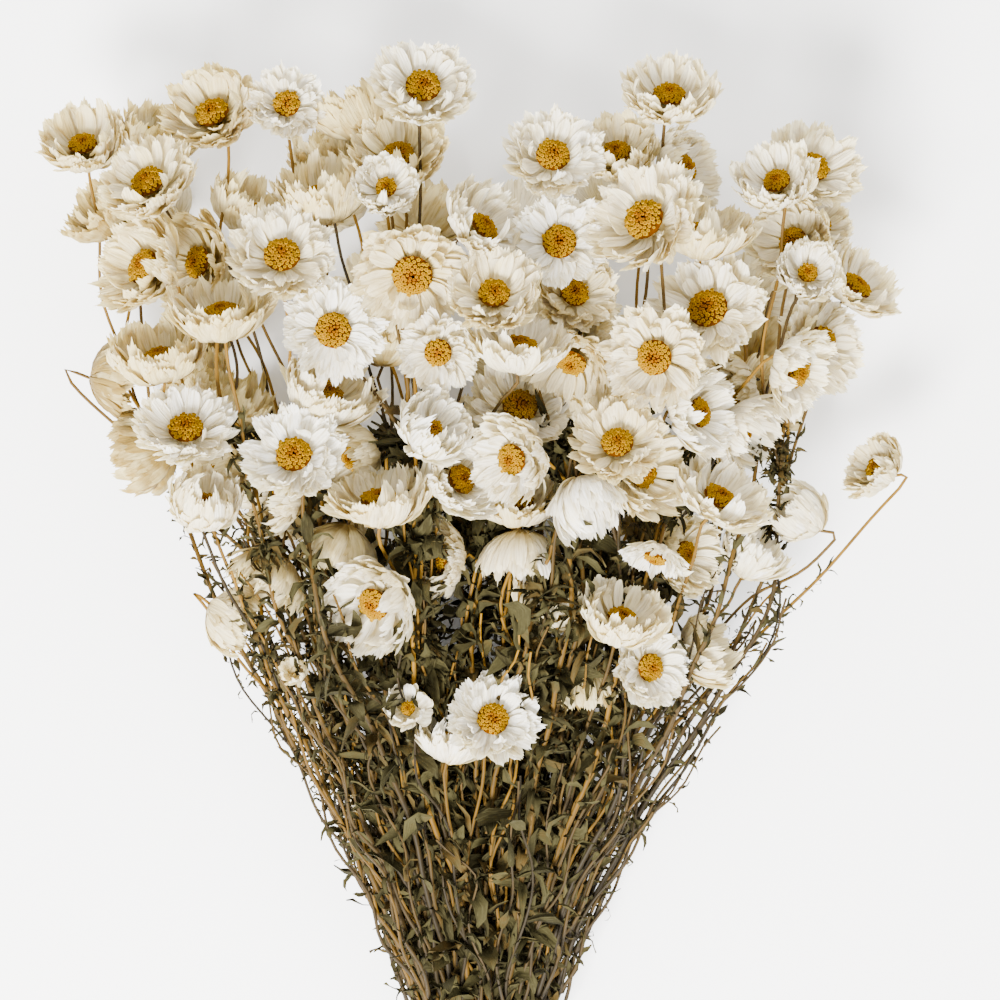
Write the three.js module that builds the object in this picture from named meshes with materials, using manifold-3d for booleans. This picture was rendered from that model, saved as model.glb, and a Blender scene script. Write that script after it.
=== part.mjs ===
// A tied bunch of dried white everlasting daisies, lying on its back on a flat surface.
// Millimetres. X runs across the bunch, Y along it from the cut ends to the heads, Z up from the surface.
// Each spray is one leafy branching stem that carries its own flower heads, cut and grown as one piece.
// The sprays run side by side through the tie, fan out above it and hold the heads in a rounded crown.
import * as THREE from "three";
import { mergeVertices } from "three/addons/utils/BufferGeometryUtils.js";
import Module from "manifold-3d";

const wasm = await Module();
wasm.setup();

// Driving dimensions of the bunch. The tie is at Y = 0 while the bunch is laid out.
const TIE_HALF_WIDTH = 14;
const TIE_HALF_DEPTH = 10;
const CROWN_HALF_WIDTH = 115;
const CROWN_HALF_DEPTH = 46;
const WIDTH_RUN = 232; // distance above the tie over which the bunch reaches its full width
const DEPTH_RUN = 232;
const TAIL_LENGTH = 84; // cut ends below the tie
const TAIL_SPLAY = 0.42;
const STEM_PITCH = 3.1; // spacing of the stems where the tie presses them together
const STEM_RADIUS = 1.22;
const STALK_RADIUS = 0.8; // the thin stalk that carries one head
const STALK_ROOT = 0.35; // where a stalk sinks into its stem
const LAYER_STEP = 17; // depth of one layer of heads in the crown
const FORK_BACK = 55; // how far below its heads a spray forks
const NECK = 6; // straight stretch of stalk right behind a head
const CLEARANCE = 0.32;
const FIRST_FREE = 4; // the first point of a stem that may be bent
const STEER_ROUNDS = 30; // passes that bend stems clear of heads
const PRESSED = 0.86; // share of its reach at which a head may lie on the surface, flattened below
const HEAD_ROUNDS = 110; // passes that ease neighbouring heads apart
const PLACE_APART = 0.235; // least spacing of the sprays, as a share of the bunch's half width
const OVAL = 0.9; // the sprays keep within this share of the bunch's half width and half depth
// Distances from the tie at which the stems are set apart.
const STATIONS = [-TAIL_LENGTH, 0, 24, 50, 79, 112, 160, 205];
const NOTCH = 0.84; // how far out two neighbouring bracts part, between shoulder and tip
const BRACTS = 6; // bracts in each of a head's two tiers
const ROOM_SIDES = 6; // sides of the plain shape that keeps others clear of a head
const BAND_WIDTH = 7;
const BAND_THICKNESS = 1.4;
const LEAF_LENGTH = 16;
const LEAF_WIDTH = 5;
const LEAF_CLIMB = 0.8; // how far a leaf runs along its stem, as a share of its length
const LEAF_SPREAD = 0.62; // how far it stands out from its stem, as a share of its length
const LEAF_ARCH = 0.5; // height of its edges above its middle plane
const LEAF_FOOT = 3; // stretch of stem that a leaf grows out of
const LEAF_SCATTER = 16; // how far the places of the leaves vary along a stem
const LEAF_TOP = 122; // leaves grow below this distance from the tie
const OUTER = 0.4; // stems further out than this share of the bunch's half size bear leaves
const LEAF_THICKNESS = 0.7; // from the rib to each face
const GRID = 1 / 256; // corners of joined solids are rounded to this, so that near ones become one
const CLEAN_ROUNDS = 4;
const TOUCH_LIMIT = 0.001; // sprays that share less than this volume are left as they are
const CROSS_LIMIT = 0.5; // stems that share more than this volume are grown together

// The eye above the bunch from which the crown was read: one pixel is PIXEL mm at READ_HEIGHT.
const PIXEL = 0.28;
const READ_HEIGHT = 80;
const EYE = { x: 5.6, y: 191, z: 800 };
const FRAME_CENTRE = 500;

// Heads read by eye from the photograph, grouped by the spray that carries them.
// Each head: across px, down px, diameter mm, tilt from facing up, compass it leans to, openness, layer
// from the front, creaminess.
const FRONT_SPRAYS = [
  [
    [84, 146, 24, 45, 95, 0.6, 1, 0.55],
    [155, 138, 23, 55, 60, 0.5, 2, 0.7],
    [106, 216, 24, 65, 130, 0.55, 2, 0.8],
  ],
  [
    [148, 187, 27, 38, 120, 0.8, 0, 0.45],
    [213, 113, 27, 38, 115, 0.75, 1, 0.6],
  ],
  [
    [286, 104, 20, 12, 80, 0.85, 1, 0.1],
    [250, 212, 24, 70, 70, 0.55, 2, 0.65],
  ],
  [
    [144, 262, 28, 45, 150, 0.7, 0, 0.6],
    [199, 263, 26, 45, 170, 0.7, 1, 0.65],
  ],
  [
    [281, 256, 27, 25, 90, 0.85, 0, 0.25],
    [325, 195, 27, 65, 95, 0.5, 1, 0.6],
  ],
  [
    [222, 314, 28, 62, 95, 0.7, 0, 0.6],
    [160, 358, 26, 62, 100, 0.6, 0, 0.65],
  ],
  [
    [112, 378, 24, 95, 0, 0.6, 2, 0.9],
    [152, 448, 25, 100, 200, 0.5, 2, 0.9],
    [228, 405, 24, 80, 60, 0.5, 2, 0.75],
  ],
  [
    [186, 428, 26, 40, 85, 0.9, 0, 0.1],
    [205, 505, 20, 45, 80, 0.25, 0, 0.35],
    [221, 470, 22, 50, 200, 0.6, 1, 0.5],
  ],
  [
    [333, 330, 25, 4, 0, 1, 0, 0],
    [386, 345, 23, 85, 80, 0.6, 2, 0.7],
  ],
  [
    [328, 403, 27, 58, 60, 0.6, 1, 0.35],
    [350, 450, 24, 55, 200, 0.6, 1, 0.5],
  ],
  [
    [296, 452, 26, 22, 100, 0.9, 0, 0],
    [278, 493, 24, 60, 180, 0.6, 1, 0.4],
  ],
  [
    [380, 500, 28, 68, 90, 0.75, 0, 0.45],
    [341, 545, 22, 95, 250, 0.5, 1, 0.6],
  ],
  [
    [270, 575, 24, 75, 240, 0.6, 1, 0.6],
    [228, 615, 19, 85, 330, 0.3, 1, 0.6],
    [294, 672, 8, 20, 90, 0.1, 0, 0.4],
  ],
  [
    [375, 603, 27, 35, 220, 0.6, 0, 0.1],
    [441, 560, 22, 55, 170, 0.6, 1, 0.4],
  ],
  [
    [491, 719, 24, 20, 60, 0.85, 0, 0],
    [452, 742, 21, 75, 80, 0.5, 0, 0.15],
    [408, 709, 13, 20, 90, 0.3, 0, 0.1],
  ],
  [
    [432, 433, 20, 35, 45, 0.3, 0, 0.05],
    [461, 478, 24, 45, 30, 0.65, 0, 0.05],
  ],
  [
    [510, 460, 24, 35, 200, 0.7, 0, 0.15],
    [522, 405, 27, 30, 80, 0.8, 1, 0.2],
  ],
  [
    [438, 350, 20, 10, 270, 0.85, 0, 0.1],
    [413, 278, 29, 22, 270, 0.9, 0, 0.45],
  ],
  [
    [423, 86, 26, 22, 80, 0.8, 0, 0.15],
    [396, 158, 26, 35, 100, 0.7, 1, 0.6],
    [386, 188, 17, 15, 90, 0.5, 0, 0.1],
  ],
  [
    [358, 118, 24, 75, 120, 0.5, 2, 0.75],
    [332, 150, 24, 75, 110, 0.5, 2, 0.75],
    [432, 212, 24, 75, 60, 0.55, 2, 0.65],
  ],
  [
    [490, 232, 26, 62, 40, 0.7, 0, 0.2],
    [493, 296, 24, 30, 85, 0.7, 0, 0.4],
  ],
  [
    [557, 238, 24, 8, 90, 1, 0, 0],
    [553, 155, 25, 22, 80, 0.85, 0, 0.15],
  ],
  [
    [521, 345, 28, 65, 85, 0.8, 0, 0.25],
    [558, 325, 20, 80, 100, 0.35, 1, 0.4],
    [572, 298, 22, 25, 60, 0.7, 1, 0.45],
  ],
  [
    [570, 363, 24, 50, 250, 0.7, 1, 0.45],
    [600, 345, 24, 80, 20, 0.6, 1, 0.4],
  ],
  [
    [655, 360, 26, 20, 200, 0.85, 0, 0.35],
    [601, 400, 24, 80, 90, 0.5, 1, 0.55],
  ],
  [
    [614, 448, 24, 30, 100, 0.8, 0, 0.45],
    [642, 473, 26, 40, 0, 0.75, 0, 0.4],
  ],
  [
    [590, 492, 20, 70, 290, 0.3, 0, 0.05],
    [517, 504, 26, 70, 90, 0.75, 1, 0.45],
    [520, 552, 24, 95, 270, 0.6, 1, 0.4],
  ],
  [
    [639, 223, 30, 35, 150, 0.85, 0, 0.35],
    [618, 154, 23, 40, 100, 0.6, 1, 0.45],
  ],
  [
    [669, 96, 25, 45, 85, 0.7, 0, 0.3],
    [682, 168, 23, 50, 20, 0.6, 1, 0.2],
  ],
  [
    [708, 308, 29, 28, 130, 0.9, 0, 0.2],
    [704, 232, 27, 65, 85, 0.7, 0, 0.5],
  ],
  [
    [812, 168, 26, 35, 70, 0.85, 1, 0.25],
    [777, 182, 22, 38, 120, 0.6, 0, 0.2],
  ],
  [
    [794, 242, 24, 35, 170, 0.7, 1, 0.35],
    [822, 224, 16, 40, 40, 0.5, 1, 0.3],
    [807, 274, 17, 20, 90, 0.4, 0, 0.1],
  ],
  [
    [855, 288, 25, 60, 50, 0.75, 1, 0.35],
    [823, 342, 26, 35, 0, 0.9, 1, 0.25],
  ],
  [
    [797, 372, 24, 50, 340, 0.75, 0, 0.25],
    [733, 391, 22, 55, 200, 0.6, 2, 0.5],
  ],
  [
    [697, 411, 24, 50, 10, 0.6, 0, 0.1],
    [742, 432, 24, 70, 330, 0.6, 1, 0.2],
  ],
  [
    [718, 498, 27, 60, 60, 0.8, 0, 0.25],
    [805, 518, 17, 80, 140, 0.15, 1, 0.25],
  ],
  [
    [877, 468, 20, 62, 145, 0.7, 1, 0.45],
    [752, 560, 20, 80, 60, 0.4, 1, 0.2],
  ],
  [
    [655, 558, 17, 70, 250, 0.9, 0, 0],
    [684, 554, 22, 40, 0, 0.6, 1, 0.35],
    [702, 655, 22, 75, 20, 0.5, 1, 0.4],
  ],
  [
    [622, 620, 24, 55, 75, 0.6, 0, 0.4],
    [650, 667, 22, 30, 0, 0.8, 0, 0.05],
    [583, 682, 22, 95, 280, 0.6, 1, 0.7],
  ],
  [
    [549, 603, 24, 60, 60, 0.6, 1, 0.5],
    [363, 800, 9, 30, 90, 0.1, 1, 0.5],
  ],
];

// The underside of the crown, which the photograph doesn't show, is filled by rule:
// rows of sprays that face down and out from a point in the middle of the stems.
const UNDER_ROWS = [
  { y: 168, across: [-40, 36] },
  { y: 211, across: [-72, -4, 70] },
  { y: 254, across: [-84, -32, 26, 84] },
];
const UNDER_ALONG = 26; // from the first head of such a spray to its second
const UNDER_ACROSS = 15;
const FLANK = 50; // sprays further across than this have their third head on the flank
const FLANK_RAISED = 28;
const FLANK_LEAN = 82; // least lean of a flank head from straight up, and below of one that faces down
const UNDER_LEAN = 112;
const UNDER_CENTRE = 150;
const UNDER_RADIUS = 11.6;
const FLOOR_SIZE = 600;
const FLOOR_DEPTH = 100;
const WELD = 1e-4; // corners nearer than this are one
const UP = new THREE.Vector3(0, 0, 1);

// A repeatable draw from 0 to 1 for item a, use b.
function draw(a, b) {
  const s = Math.sin(a * 12.9898 + b * 78.233) * 43758.5453;
  return s - Math.floor(s);
}

const snap = (v) => Math.round(v / GRID) * GRID;
const mix = (a, b, t) => a + (b - a) * t;

function smooth(t) {
  const c = Math.min(1, Math.max(0, t));
  return c * c * (3 - 2 * c);
}

// Share of the way from the tie's size to the crown's: a slow start, then an even fan.
const opening = (t) => mix(smooth(t), Math.min(1, t), 0.25);

// Half width and half depth of the bunch at a distance y above the tie.
function halfWidth(y) {
  if (y < 0) return TIE_HALF_WIDTH * (1 + (TAIL_SPLAY * -y) / TAIL_LENGTH);
  return mix(TIE_HALF_WIDTH, CROWN_HALF_WIDTH, opening(y / WIDTH_RUN));
}

function halfDepth(y) {
  if (y < 0) return TIE_HALF_DEPTH * (1 + (TAIL_SPLAY * -y) / TAIL_LENGTH);
  return mix(TIE_HALF_DEPTH, CROWN_HALF_DEPTH, opening(y / DEPTH_RUN));
}

// Height of the bunch's middle line: its underside lies along the surface.
function middle(y) {
  return halfDepth(y) + STEM_RADIUS + 2 * CLEARANCE + BAND_THICKNESS;
}

// Unit vector that leans by tilt degrees from straight up towards a compass: 0 is +X, 90 is +Y.
function facing(tilt, compass) {
  const t = THREE.MathUtils.degToRad(tilt);
  const c = THREE.MathUtils.degToRad(compass);
  return new THREE.Vector3(Math.sin(t) * Math.cos(c), Math.sin(t) * Math.sin(c), Math.cos(t));
}

// Sizes of one head: each ring's radius and its height above the disc's centre.
function headSizes(head) {
  const r = head.radius;
  const o = head.open;
  return {
    base: -r * mix(0.72, 0.42, o),
    shoulder: [r * mix(0.86, 0.52, o), r * mix(0.05, -0.22, o)],
    tip: [r * mix(0.42, 1, Math.sqrt(o)), r * mix(1.05, 0.06, o)],
    waist: [r * mix(0.3, 0.44, o), r * mix(0.35, -0.02, o)],
    inner: [r * mix(0.26, 0.74, o), r * mix(0.95, 0.2, o)],
    disc: [r * mix(0.2, 0.3, o), r * mix(0.3, 0.03, o)],
    crest: r * mix(0.4, 0.13, o),
  };
}

// A head as the photograph shows it, brought to the height of its own layer.
function seenHead(row, serial) {
  const [across, down, diameter, tilt, compass, open, layer, cream] = row;
  const flatX = EYE.x + (across - FRAME_CENTRE) * PIXEL;
  const flatY = EYE.y + (FRAME_CENTRE - down) * PIXEL;
  const u = Math.min(0.97, Math.abs(flatX) / (halfWidth(flatY) + 6));
  const top = middle(flatY) + halfDepth(flatY) * Math.sqrt(1 - u * u);
  const z = Math.max(diameter * 0.55, top - LAYER_STEP * layer);
  const reach = (EYE.z - z) / (EYE.z - READ_HEIGHT);
  return {
    serial,
    at: new THREE.Vector3(EYE.x + (flatX - EYE.x) * reach, EYE.y + (flatY - EYE.y) * reach, z),
    axis: facing(tilt, compass),
    radius: diameter / 2,
    open,
    cream,
    front: true,
    layer,
  };
}

// A head on the underside of the crown, facing down and out, or out from the flank.
function underHead(x, y, raised, serial) {
  const out = THREE.MathUtils.radToDeg(Math.atan2(y - UNDER_CENTRE, x * 1.6));
  const lean = raised > FLANK_RAISED / 2 ? FLANK_LEAN : UNDER_LEAN;
  const head = {
    serial,
    at: new THREE.Vector3(x, y, 0),
    axis: facing(lean + 30 * draw(serial, 1), out + 50 * (draw(serial, 3) - 0.5)),
    radius: UNDER_RADIUS + 1.8 * draw(serial, 4),
    open: 0.5 + 0.35 * draw(serial, 5),
    cream: 0.35 + 0.5 * draw(serial, 6),
    front: false,
    layer: 2,
  };
  head.at.z = reachOf(head, UP) * PRESSED + raised;
  return head;
}

// All sprays, each a list of heads.
function laySprays() {
  let serial = 0;
  const laid = FRONT_SPRAYS.map((rows) => rows.map((row) => seenHead(row, serial++)));
  for (const row of UNDER_ROWS) {
    for (const x of row.across) {
      const side = draw(serial, 7) < 0.5 ? -1 : 1;
      const y = row.y + 8 * (draw(serial, 8) - 0.5);
      const first = underHead(x, y, 0, serial++);
      const second = underHead(x + side * UNDER_ACROSS, y + UNDER_ALONG, 4 * draw(serial, 2), serial++);
      const flank = Math.abs(x) > FLANK;
      const third = flank
        ? underHead(x + Math.sign(x) * 14, y + 12, FLANK_RAISED, serial++)
        : underHead(x - side * UNDER_ACROSS, y + 18, 8, serial++);
      laid.push([first, second, third]);
    }
  }
  return laid;
}

// Reach of a head from its middle in a direction, as a flattened ball.
function reachOf(head, direction) {
  const along = Math.abs(head.axis.dot(direction));
  const wide = head.radius * mix(0.86, 0.97, head.open);
  const deep = head.radius * mix(0.85, 0.34, head.open) + 0.4;
  return Math.hypot(wide * Math.sqrt(Math.max(0, 1 - along * along)), deep * along);
}

function middleOf(head) {
  return head.at.clone().addScaledVector(head.axis, head.radius * mix(0.16, -0.11, head.open));
}

// Eases overlapping heads apart, mostly in depth, so that each keeps its place as seen from above.
function easeApart(heads) {
  const home = heads.map((h) => h.at.clone());
  for (let round = 0; round < HEAD_ROUNDS; round++) {
    const moves = heads.map(() => new THREE.Vector3());
    for (let i = 0; i < heads.length; i++) {
      for (let j = i + 1; j < heads.length; j++) {
        const a = heads[i];
        const b = heads[j];
        const gap = middleOf(b).sub(middleOf(a));
        if (gap.length() > a.radius + b.radius + 2) continue;
        let best = null;
        for (const way of [a.axis, b.axis, UP, gap.clone().normalize()]) {
          const m = gap.dot(way) < 0 ? way.clone().negate() : way.clone();
          const depth = reachOf(a, m) + reachOf(b, m) + 0.4 - gap.dot(m);
          if (!best || depth < best.depth) best = { m, depth };
        }
        if (best.depth <= 0) continue;
        moves[i].addScaledVector(best.m, -0.3 * best.depth);
        moves[j].addScaledVector(best.m, 0.3 * best.depth);
      }
    }
    heads.forEach((h, i) => {
      const hold = h.front ? 0.45 : 1;
      h.at.x += moves[i].x * hold;
      h.at.y += moves[i].y * hold;
      h.at.z += moves[i].z;
      h.at.x = mix(h.at.x, home[i].x, 0.06);
      h.at.y = mix(h.at.y, home[i].y, 0.06);
      h.at.z = Math.max(mix(h.at.z, home[i].z, 0.015), reachOf(h, UP) * PRESSED);
    });
  }
}

// Place of a spray's stem in the bunch: across and deep, as shares of the half width and half depth.
function stemPlaces() {
  const places = sprays.map((heads) => {
    let x = 0;
    let z = 0;
    for (const h of heads) {
      x += h.at.x / (halfWidth(h.at.y) + 8) / heads.length;
      z += (h.at.z - middle(h.at.y)) / (halfDepth(h.at.y) + 8) / heads.length;
    }
    return { x: x * 0.86, z: z * 0.78 };
  });
  spread(places, PLACE_APART, 80, 1, 1);
  return places;
}

// Pushes points at least some distance apart and keeps them inside an oval.
function spread(points, apart, rounds, wide, deep) {
  for (let round = 0; round < rounds; round++) {
    for (let i = 0; i < points.length; i++) {
      for (let j = i + 1; j < points.length; j++) {
        const dx = points[j].x - points[i].x;
        const dz = points[j].z - points[i].z;
        const d = Math.hypot(dx, dz) + 1e-6;
        if (d >= apart) continue;
        const push = (0.5 * (apart - d)) / d;
        points[i].x -= dx * push;
        points[i].z -= dz * push;
        points[j].x += dx * push;
        points[j].z += dz * push;
      }
    }
    for (const p of points) {
      const r = Math.hypot(p.x / wide, p.z / deep);
      if (r <= OVAL) continue;
      p.x *= OVAL / r;
      p.z *= OVAL / r;
    }
  }
}

// Seats for the stems under the tie, in rows like stacked pencils, as x and height from the middle.
function tieSeats(count) {
  const seats = [];
  const rise = STEM_PITCH * Math.sin(Math.PI / 3);
  for (let row = -4; row <= 4; row++) {
    for (let col = -6; col <= 6; col++) {
      const x = (col + (row & 1 ? 0.5 : 0)) * STEM_PITCH;
      const z = row * rise;
      seats.push({ x, z, far: Math.hypot(x / TIE_HALF_WIDTH, z / TIE_HALF_DEPTH) });
    }
  }
  seats.sort((a, b) => a.far - b.far);
  return seats.slice(0, count).sort((a, b) => a.z - b.z || a.x - b.x);
}

// Gives every spray a seat under the tie, row by row, in the order of its place in the bunch.
function seatOrder(places) {
  const seats = tieSeats(places.length);
  const order = places.map((p, i) => i).sort((a, b) => places[a].z - places[b].z);
  const given = [];
  let from = 0;
  while (from < seats.length) {
    let to = from;
    while (to < seats.length && Math.abs(seats[to].z - seats[from].z) < 1e-6) to++;
    const row = order.slice(from, to).sort((a, b) => places[a].x - places[b].x);
    row.forEach((spray, k) => {
      given[spray] = seats[from + k];
    });
    from = to;
  }
  return given;
}

// Runs of all stems: at each station they open out from their seats to their places and stay apart.
function stemRuns() {
  const places = stemPlaces();
  const seats = seatOrder(places);
  const runs = sprays.map(() => []);
  for (const y of STATIONS) {
    const t = smooth((y - 4) / 130);
    const wide = halfWidth(y);
    const deep = halfDepth(y);
    const points = sprays.map((heads, i) => ({
      x: mix((seats[i].x * wide) / TIE_HALF_WIDTH, places[i].x * wide, t),
      z: mix((seats[i].z * deep) / TIE_HALF_DEPTH, places[i].z * deep, t),
    }));
    if (y > 0) spread(points, 2 * STEM_RADIUS + CLEARANCE, 30, wide / OVAL, deep / OVAL);
    points.forEach((p, i) => runs[i].push(new THREE.Vector3(p.x, y, middle(y) + p.z)));
  }
  return runs;
}

// Point of a run of points at a distance y above the tie.
function pointAt(run, y) {
  let k = 1;
  while (k < run.length - 1 && run[k].y < y) k++;
  const t = (y - run[k - 1].y) / (run[k].y - run[k - 1].y);
  return run[k - 1].clone().lerp(run[k], Math.min(1.2, t));
}

const forkOf = (head) => Math.max(58, Math.min(head.at.y - FORK_BACK, STATIONS[STATIONS.length - 1]));

// Ends of the straight stretch of stalk right behind a head.
function neckOf(head) {
  const back = head.at.clone().addScaledVector(head.axis, headSizes(head).base);
  return [back.clone().addScaledVector(head.axis, -Math.min(NECK, head.radius)), back];
}

// Stem of a spray and the stalks that branch from it. The stem leads to the highest head.
function layStems(heads, run) {
  const lead = heads.reduce((a, b) => (b.at.y > a.at.y ? b : a));
  const stem = [...run.filter((p) => p.y < forkOf(lead) - 8)];
  stem[0].y += 10 * draw(lead.serial, 9);
  const [neck, back] = neckOf(lead);
  stem.push(stem[stem.length - 1].clone().lerp(neck, 0.45), neck, back);
  const stalks = heads
    .filter((h) => h !== lead)
    .map((head) => {
      const root = pointAt(stem, forkOf(head));
      const ends = neckOf(head);
      return { head, path: [root, root.clone().lerp(ends[0], 0.5), ...ends] };
    });
  return { lead, stem, stalks };
}

// Point of a stretch nearest to another point, as its share of the way.
function nearest(from, to, point) {
  const run = to.clone().sub(from);
  return Math.min(1, Math.max(0, point.clone().sub(from).dot(run) / run.lengthSq()));
}

// Bends stems and stalks clear of the heads of the other sprays. Their last two points stay put.
function steerStems(laid) {
  const ways = [];
  laid.forEach(({ stem, stalks }, spray) => {
    ways.push({ spray, path: stem, first: FIRST_FREE });
    for (const { path } of stalks) ways.push({ spray, path, first: 1 });
  });
  for (let round = 0; round < STEER_ROUNDS; round++) {
    for (const { spray, path, first } of ways) {
      const last = path.length - 3;
      for (let k = first - 1; k <= last; k++) {
        for (const [other, heads] of sprays.entries()) {
          if (other === spray) continue;
          for (const head of heads) {
            const centre = middleOf(head);
            const t = nearest(path[k], path[k + 1], centre);
            const out = path[k].clone().lerp(path[k + 1], t).sub(centre);
            const far = out.length();
            if (far > head.radius * 1.1 + 3) continue;
            out.divideScalar(far + 1e-6);
            const short = reachOf(head, out) + STEM_RADIUS + CLEARANCE - far;
            if (short <= 0) continue;
            if (k >= first) path[k].addScaledVector(out, 0.6 * short * (1 - t));
            if (k + 1 <= last) path[k + 1].addScaledVector(out, 0.6 * short * t);
          }
        }
      }
    }
  }
  for (const { stem, stalks } of laid) {
    for (const { head, path } of stalks) path[0].copy(pointAt(stem, forkOf(head)));
  }
}

// A closed geometry whose corners are merged, as a solid.
function solidOf(geometry) {
  return new wasm.Manifold(
    new wasm.Mesh({
      numProp: 3,
      vertProperties: geometry.attributes.position.array,
      triVerts: new Uint32Array(geometry.index.array),
    }),
  );
}

// Closed mesh from corner points and triangles, as a solid.
function solidFrom(points, triangles) {
  const places = new THREE.Float32BufferAttribute(points.flatMap((p) => [p.x, p.y, p.z]), 3);
  const make = (faces) => {
    const g = new THREE.BufferGeometry();
    g.setAttribute("position", places);
    g.setIndex(faces.flat());
    return solidOf(mergeVertices(g, WELD));
  };
  const solid = make(triangles);
  return solid.volume() < 0 ? make(triangles.map(([a, b, c]) => [a, c, b])) : solid;
}

// Direction that leaves the line of a ring's frame at an angle round it.
const outAt = ({ side, other }, angle) =>
  side.clone().multiplyScalar(Math.cos(angle)).addScaledVector(other, Math.sin(angle));

// Rings of points round a path, with a frame that doesn't twist.
function ringsAlong(path, radii, sides) {
  let side = new THREE.Vector3(0, 0, 1);
  return path.map((point, k) => {
    const before = path[Math.max(0, k - 1)];
    const after = path[Math.min(path.length - 1, k + 1)];
    const along = after.clone().sub(before).normalize();
    side = side.clone().addScaledVector(along, -side.dot(along)).normalize();
    const other = along.clone().cross(side);
    const ring = [];
    for (let s = 0; s < sides; s++) {
      ring.push(point.clone().addScaledVector(outAt({ side, other }, (2 * Math.PI * s) / sides), radii[k]));
    }
    return { ring, side, other };
  });
}

// Triangles between two rings given as lists of point numbers, which may differ in count.
function stitch(a, b, triangles) {
  let i = 0;
  let j = 0;
  while (i < a.length || j < b.length) {
    if (j >= b.length || (i < a.length && (i + 1) / a.length <= (j + 1) / b.length)) {
      triangles.push([a[i % a.length], a[(i + 1) % a.length], b[j % b.length]]);
      i++;
    } else {
      triangles.push([a[i % a.length], b[(j + 1) % b.length], b[j % b.length]]);
      j++;
    }
  }
}

// Skin of a tube along a path, with leaves that grow between the ring they name and the next,
// each from the facet that faces out of the bunch.
function tubeSkin(path, radii, sides, leaves) {
  const rings = ringsAlong(path, radii, sides);
  const points = [];
  const triangles = [];
  const numbers = rings.map(({ ring }) => ring.map((p) => points.push(p) - 1));
  for (let k = 0; k + 1 < numbers.length; k++) {
    const grown = leaves.find((l) => l.ring === k);
    const facets = rings[k].ring.map((p, i) => outAt(rings[k], (2 * Math.PI * (i + 0.5)) / sides));
    const away = new THREE.Vector3(path[k].x, 0, path[k].z - middle(path[k].y));
    const free = facets.reduce((best, out, i) => (out.dot(away) > facets[best].dot(away) ? i : best), 0);
    for (let i = 0; i < sides; i++) {
      const j = (i + 1) % sides;
      const corners = [numbers[k][i], numbers[k][j], numbers[k + 1][j], numbers[k + 1][i]];
      if (grown && i === free) {
        const out = facets[i];
        const along = path[k + 1].clone().sub(path[k]).normalize();
        addLeaf(corners, along, out, grown.length, points, triangles);
      } else {
        triangles.push([corners[0], corners[1], corners[2]], [corners[0], corners[2], corners[3]]);
      }
    }
  }
  for (let i = 1; i + 1 < sides; i++) triangles.push([numbers[0][0], numbers[0][i + 1], numbers[0][i]]);
  return { points, triangles, end: numbers[numbers.length - 1], frame: rings[rings.length - 1] };
}

// Tube along a path with flat ends, as a solid.
function tube(path, radii, sides) {
  const { points, triangles, end } = tubeSkin(path, radii, sides, []);
  for (let i = 1; i + 1 < sides; i++) triangles.push([end[0], end[i], end[i + 1]]);
  return solidFrom(points, triangles);
}

// Stem or stalk that ends in its head, as a solid.
// Outer bracts form the rim; inner bracts stand above them round the disc.
function stalkAndHead(path, radii, head, leaves) {
  const { points, triangles, end, frame } = tubeSkin(path, radii, 3, leaves);
  const count = head.layer === 0 && head.radius > 9 ? BRACTS : BRACTS - 1;
  const s = headSizes(head);
  const put = (angle, [radius, height]) => {
    const p = head.at.clone().addScaledVector(outAt(frame, angle), radius);
    return points.push(p.addScaledVector(head.axis, height)) - 1;
  };
  const step = (2 * Math.PI) / count;
  const ring = { shoulder: [], tip: [], notch: [], waist: [], inner: [], disc: [] };
  for (let i = 0; i < count; i++) {
    const a = step * i;
    const b = a + step / 2;
    const wave = 1 + 0.14 * (draw(head.serial, 20 + i) - 0.5);
    const lift = head.radius * 0.16 * (draw(head.serial, 40 + i) - 0.5);
    ring.shoulder.push(put(a, s.shoulder));
    ring.tip.push(put(a, [s.tip[0] * wave, s.tip[1] + lift]));
    ring.notch.push(put(b, [mix(s.shoulder[0], s.tip[0], NOTCH), mix(s.shoulder[1], s.tip[1], NOTCH)]));
    ring.waist.push(put(a, s.waist));
    ring.inner.push(put(b, [s.inner[0] * wave, s.inner[1] - lift / 2]));
    ring.disc.push(put(b, s.disc));
  }
  const crest = put(0, [0, s.crest]);
  stitch(end, ring.shoulder, triangles);
  for (let i = 0; i < count; i++) {
    const j = (i + 1) % count;
    triangles.push([ring.shoulder[i], ring.notch[i], ring.tip[i]]);
    triangles.push([ring.shoulder[i], ring.shoulder[j], ring.notch[i]]);
    triangles.push([ring.shoulder[j], ring.tip[j], ring.notch[i]]);
    triangles.push([ring.waist[i], ring.tip[i], ring.notch[i]]);
    triangles.push([ring.waist[i], ring.notch[i], ring.waist[j]]);
    triangles.push([ring.waist[j], ring.notch[i], ring.tip[j]]);
    triangles.push([ring.waist[i], ring.waist[j], ring.inner[i]]);
    triangles.push([ring.waist[i], ring.inner[i], ring.disc[i]]);
    triangles.push([ring.inner[i], ring.waist[j], ring.disc[i]]);
    triangles.push([ring.waist[j], ring.disc[j], ring.disc[i]]);
    triangles.push([ring.disc[i], ring.disc[j], crest]);
  }
  return solidFrom(points, triangles);
}

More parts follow.
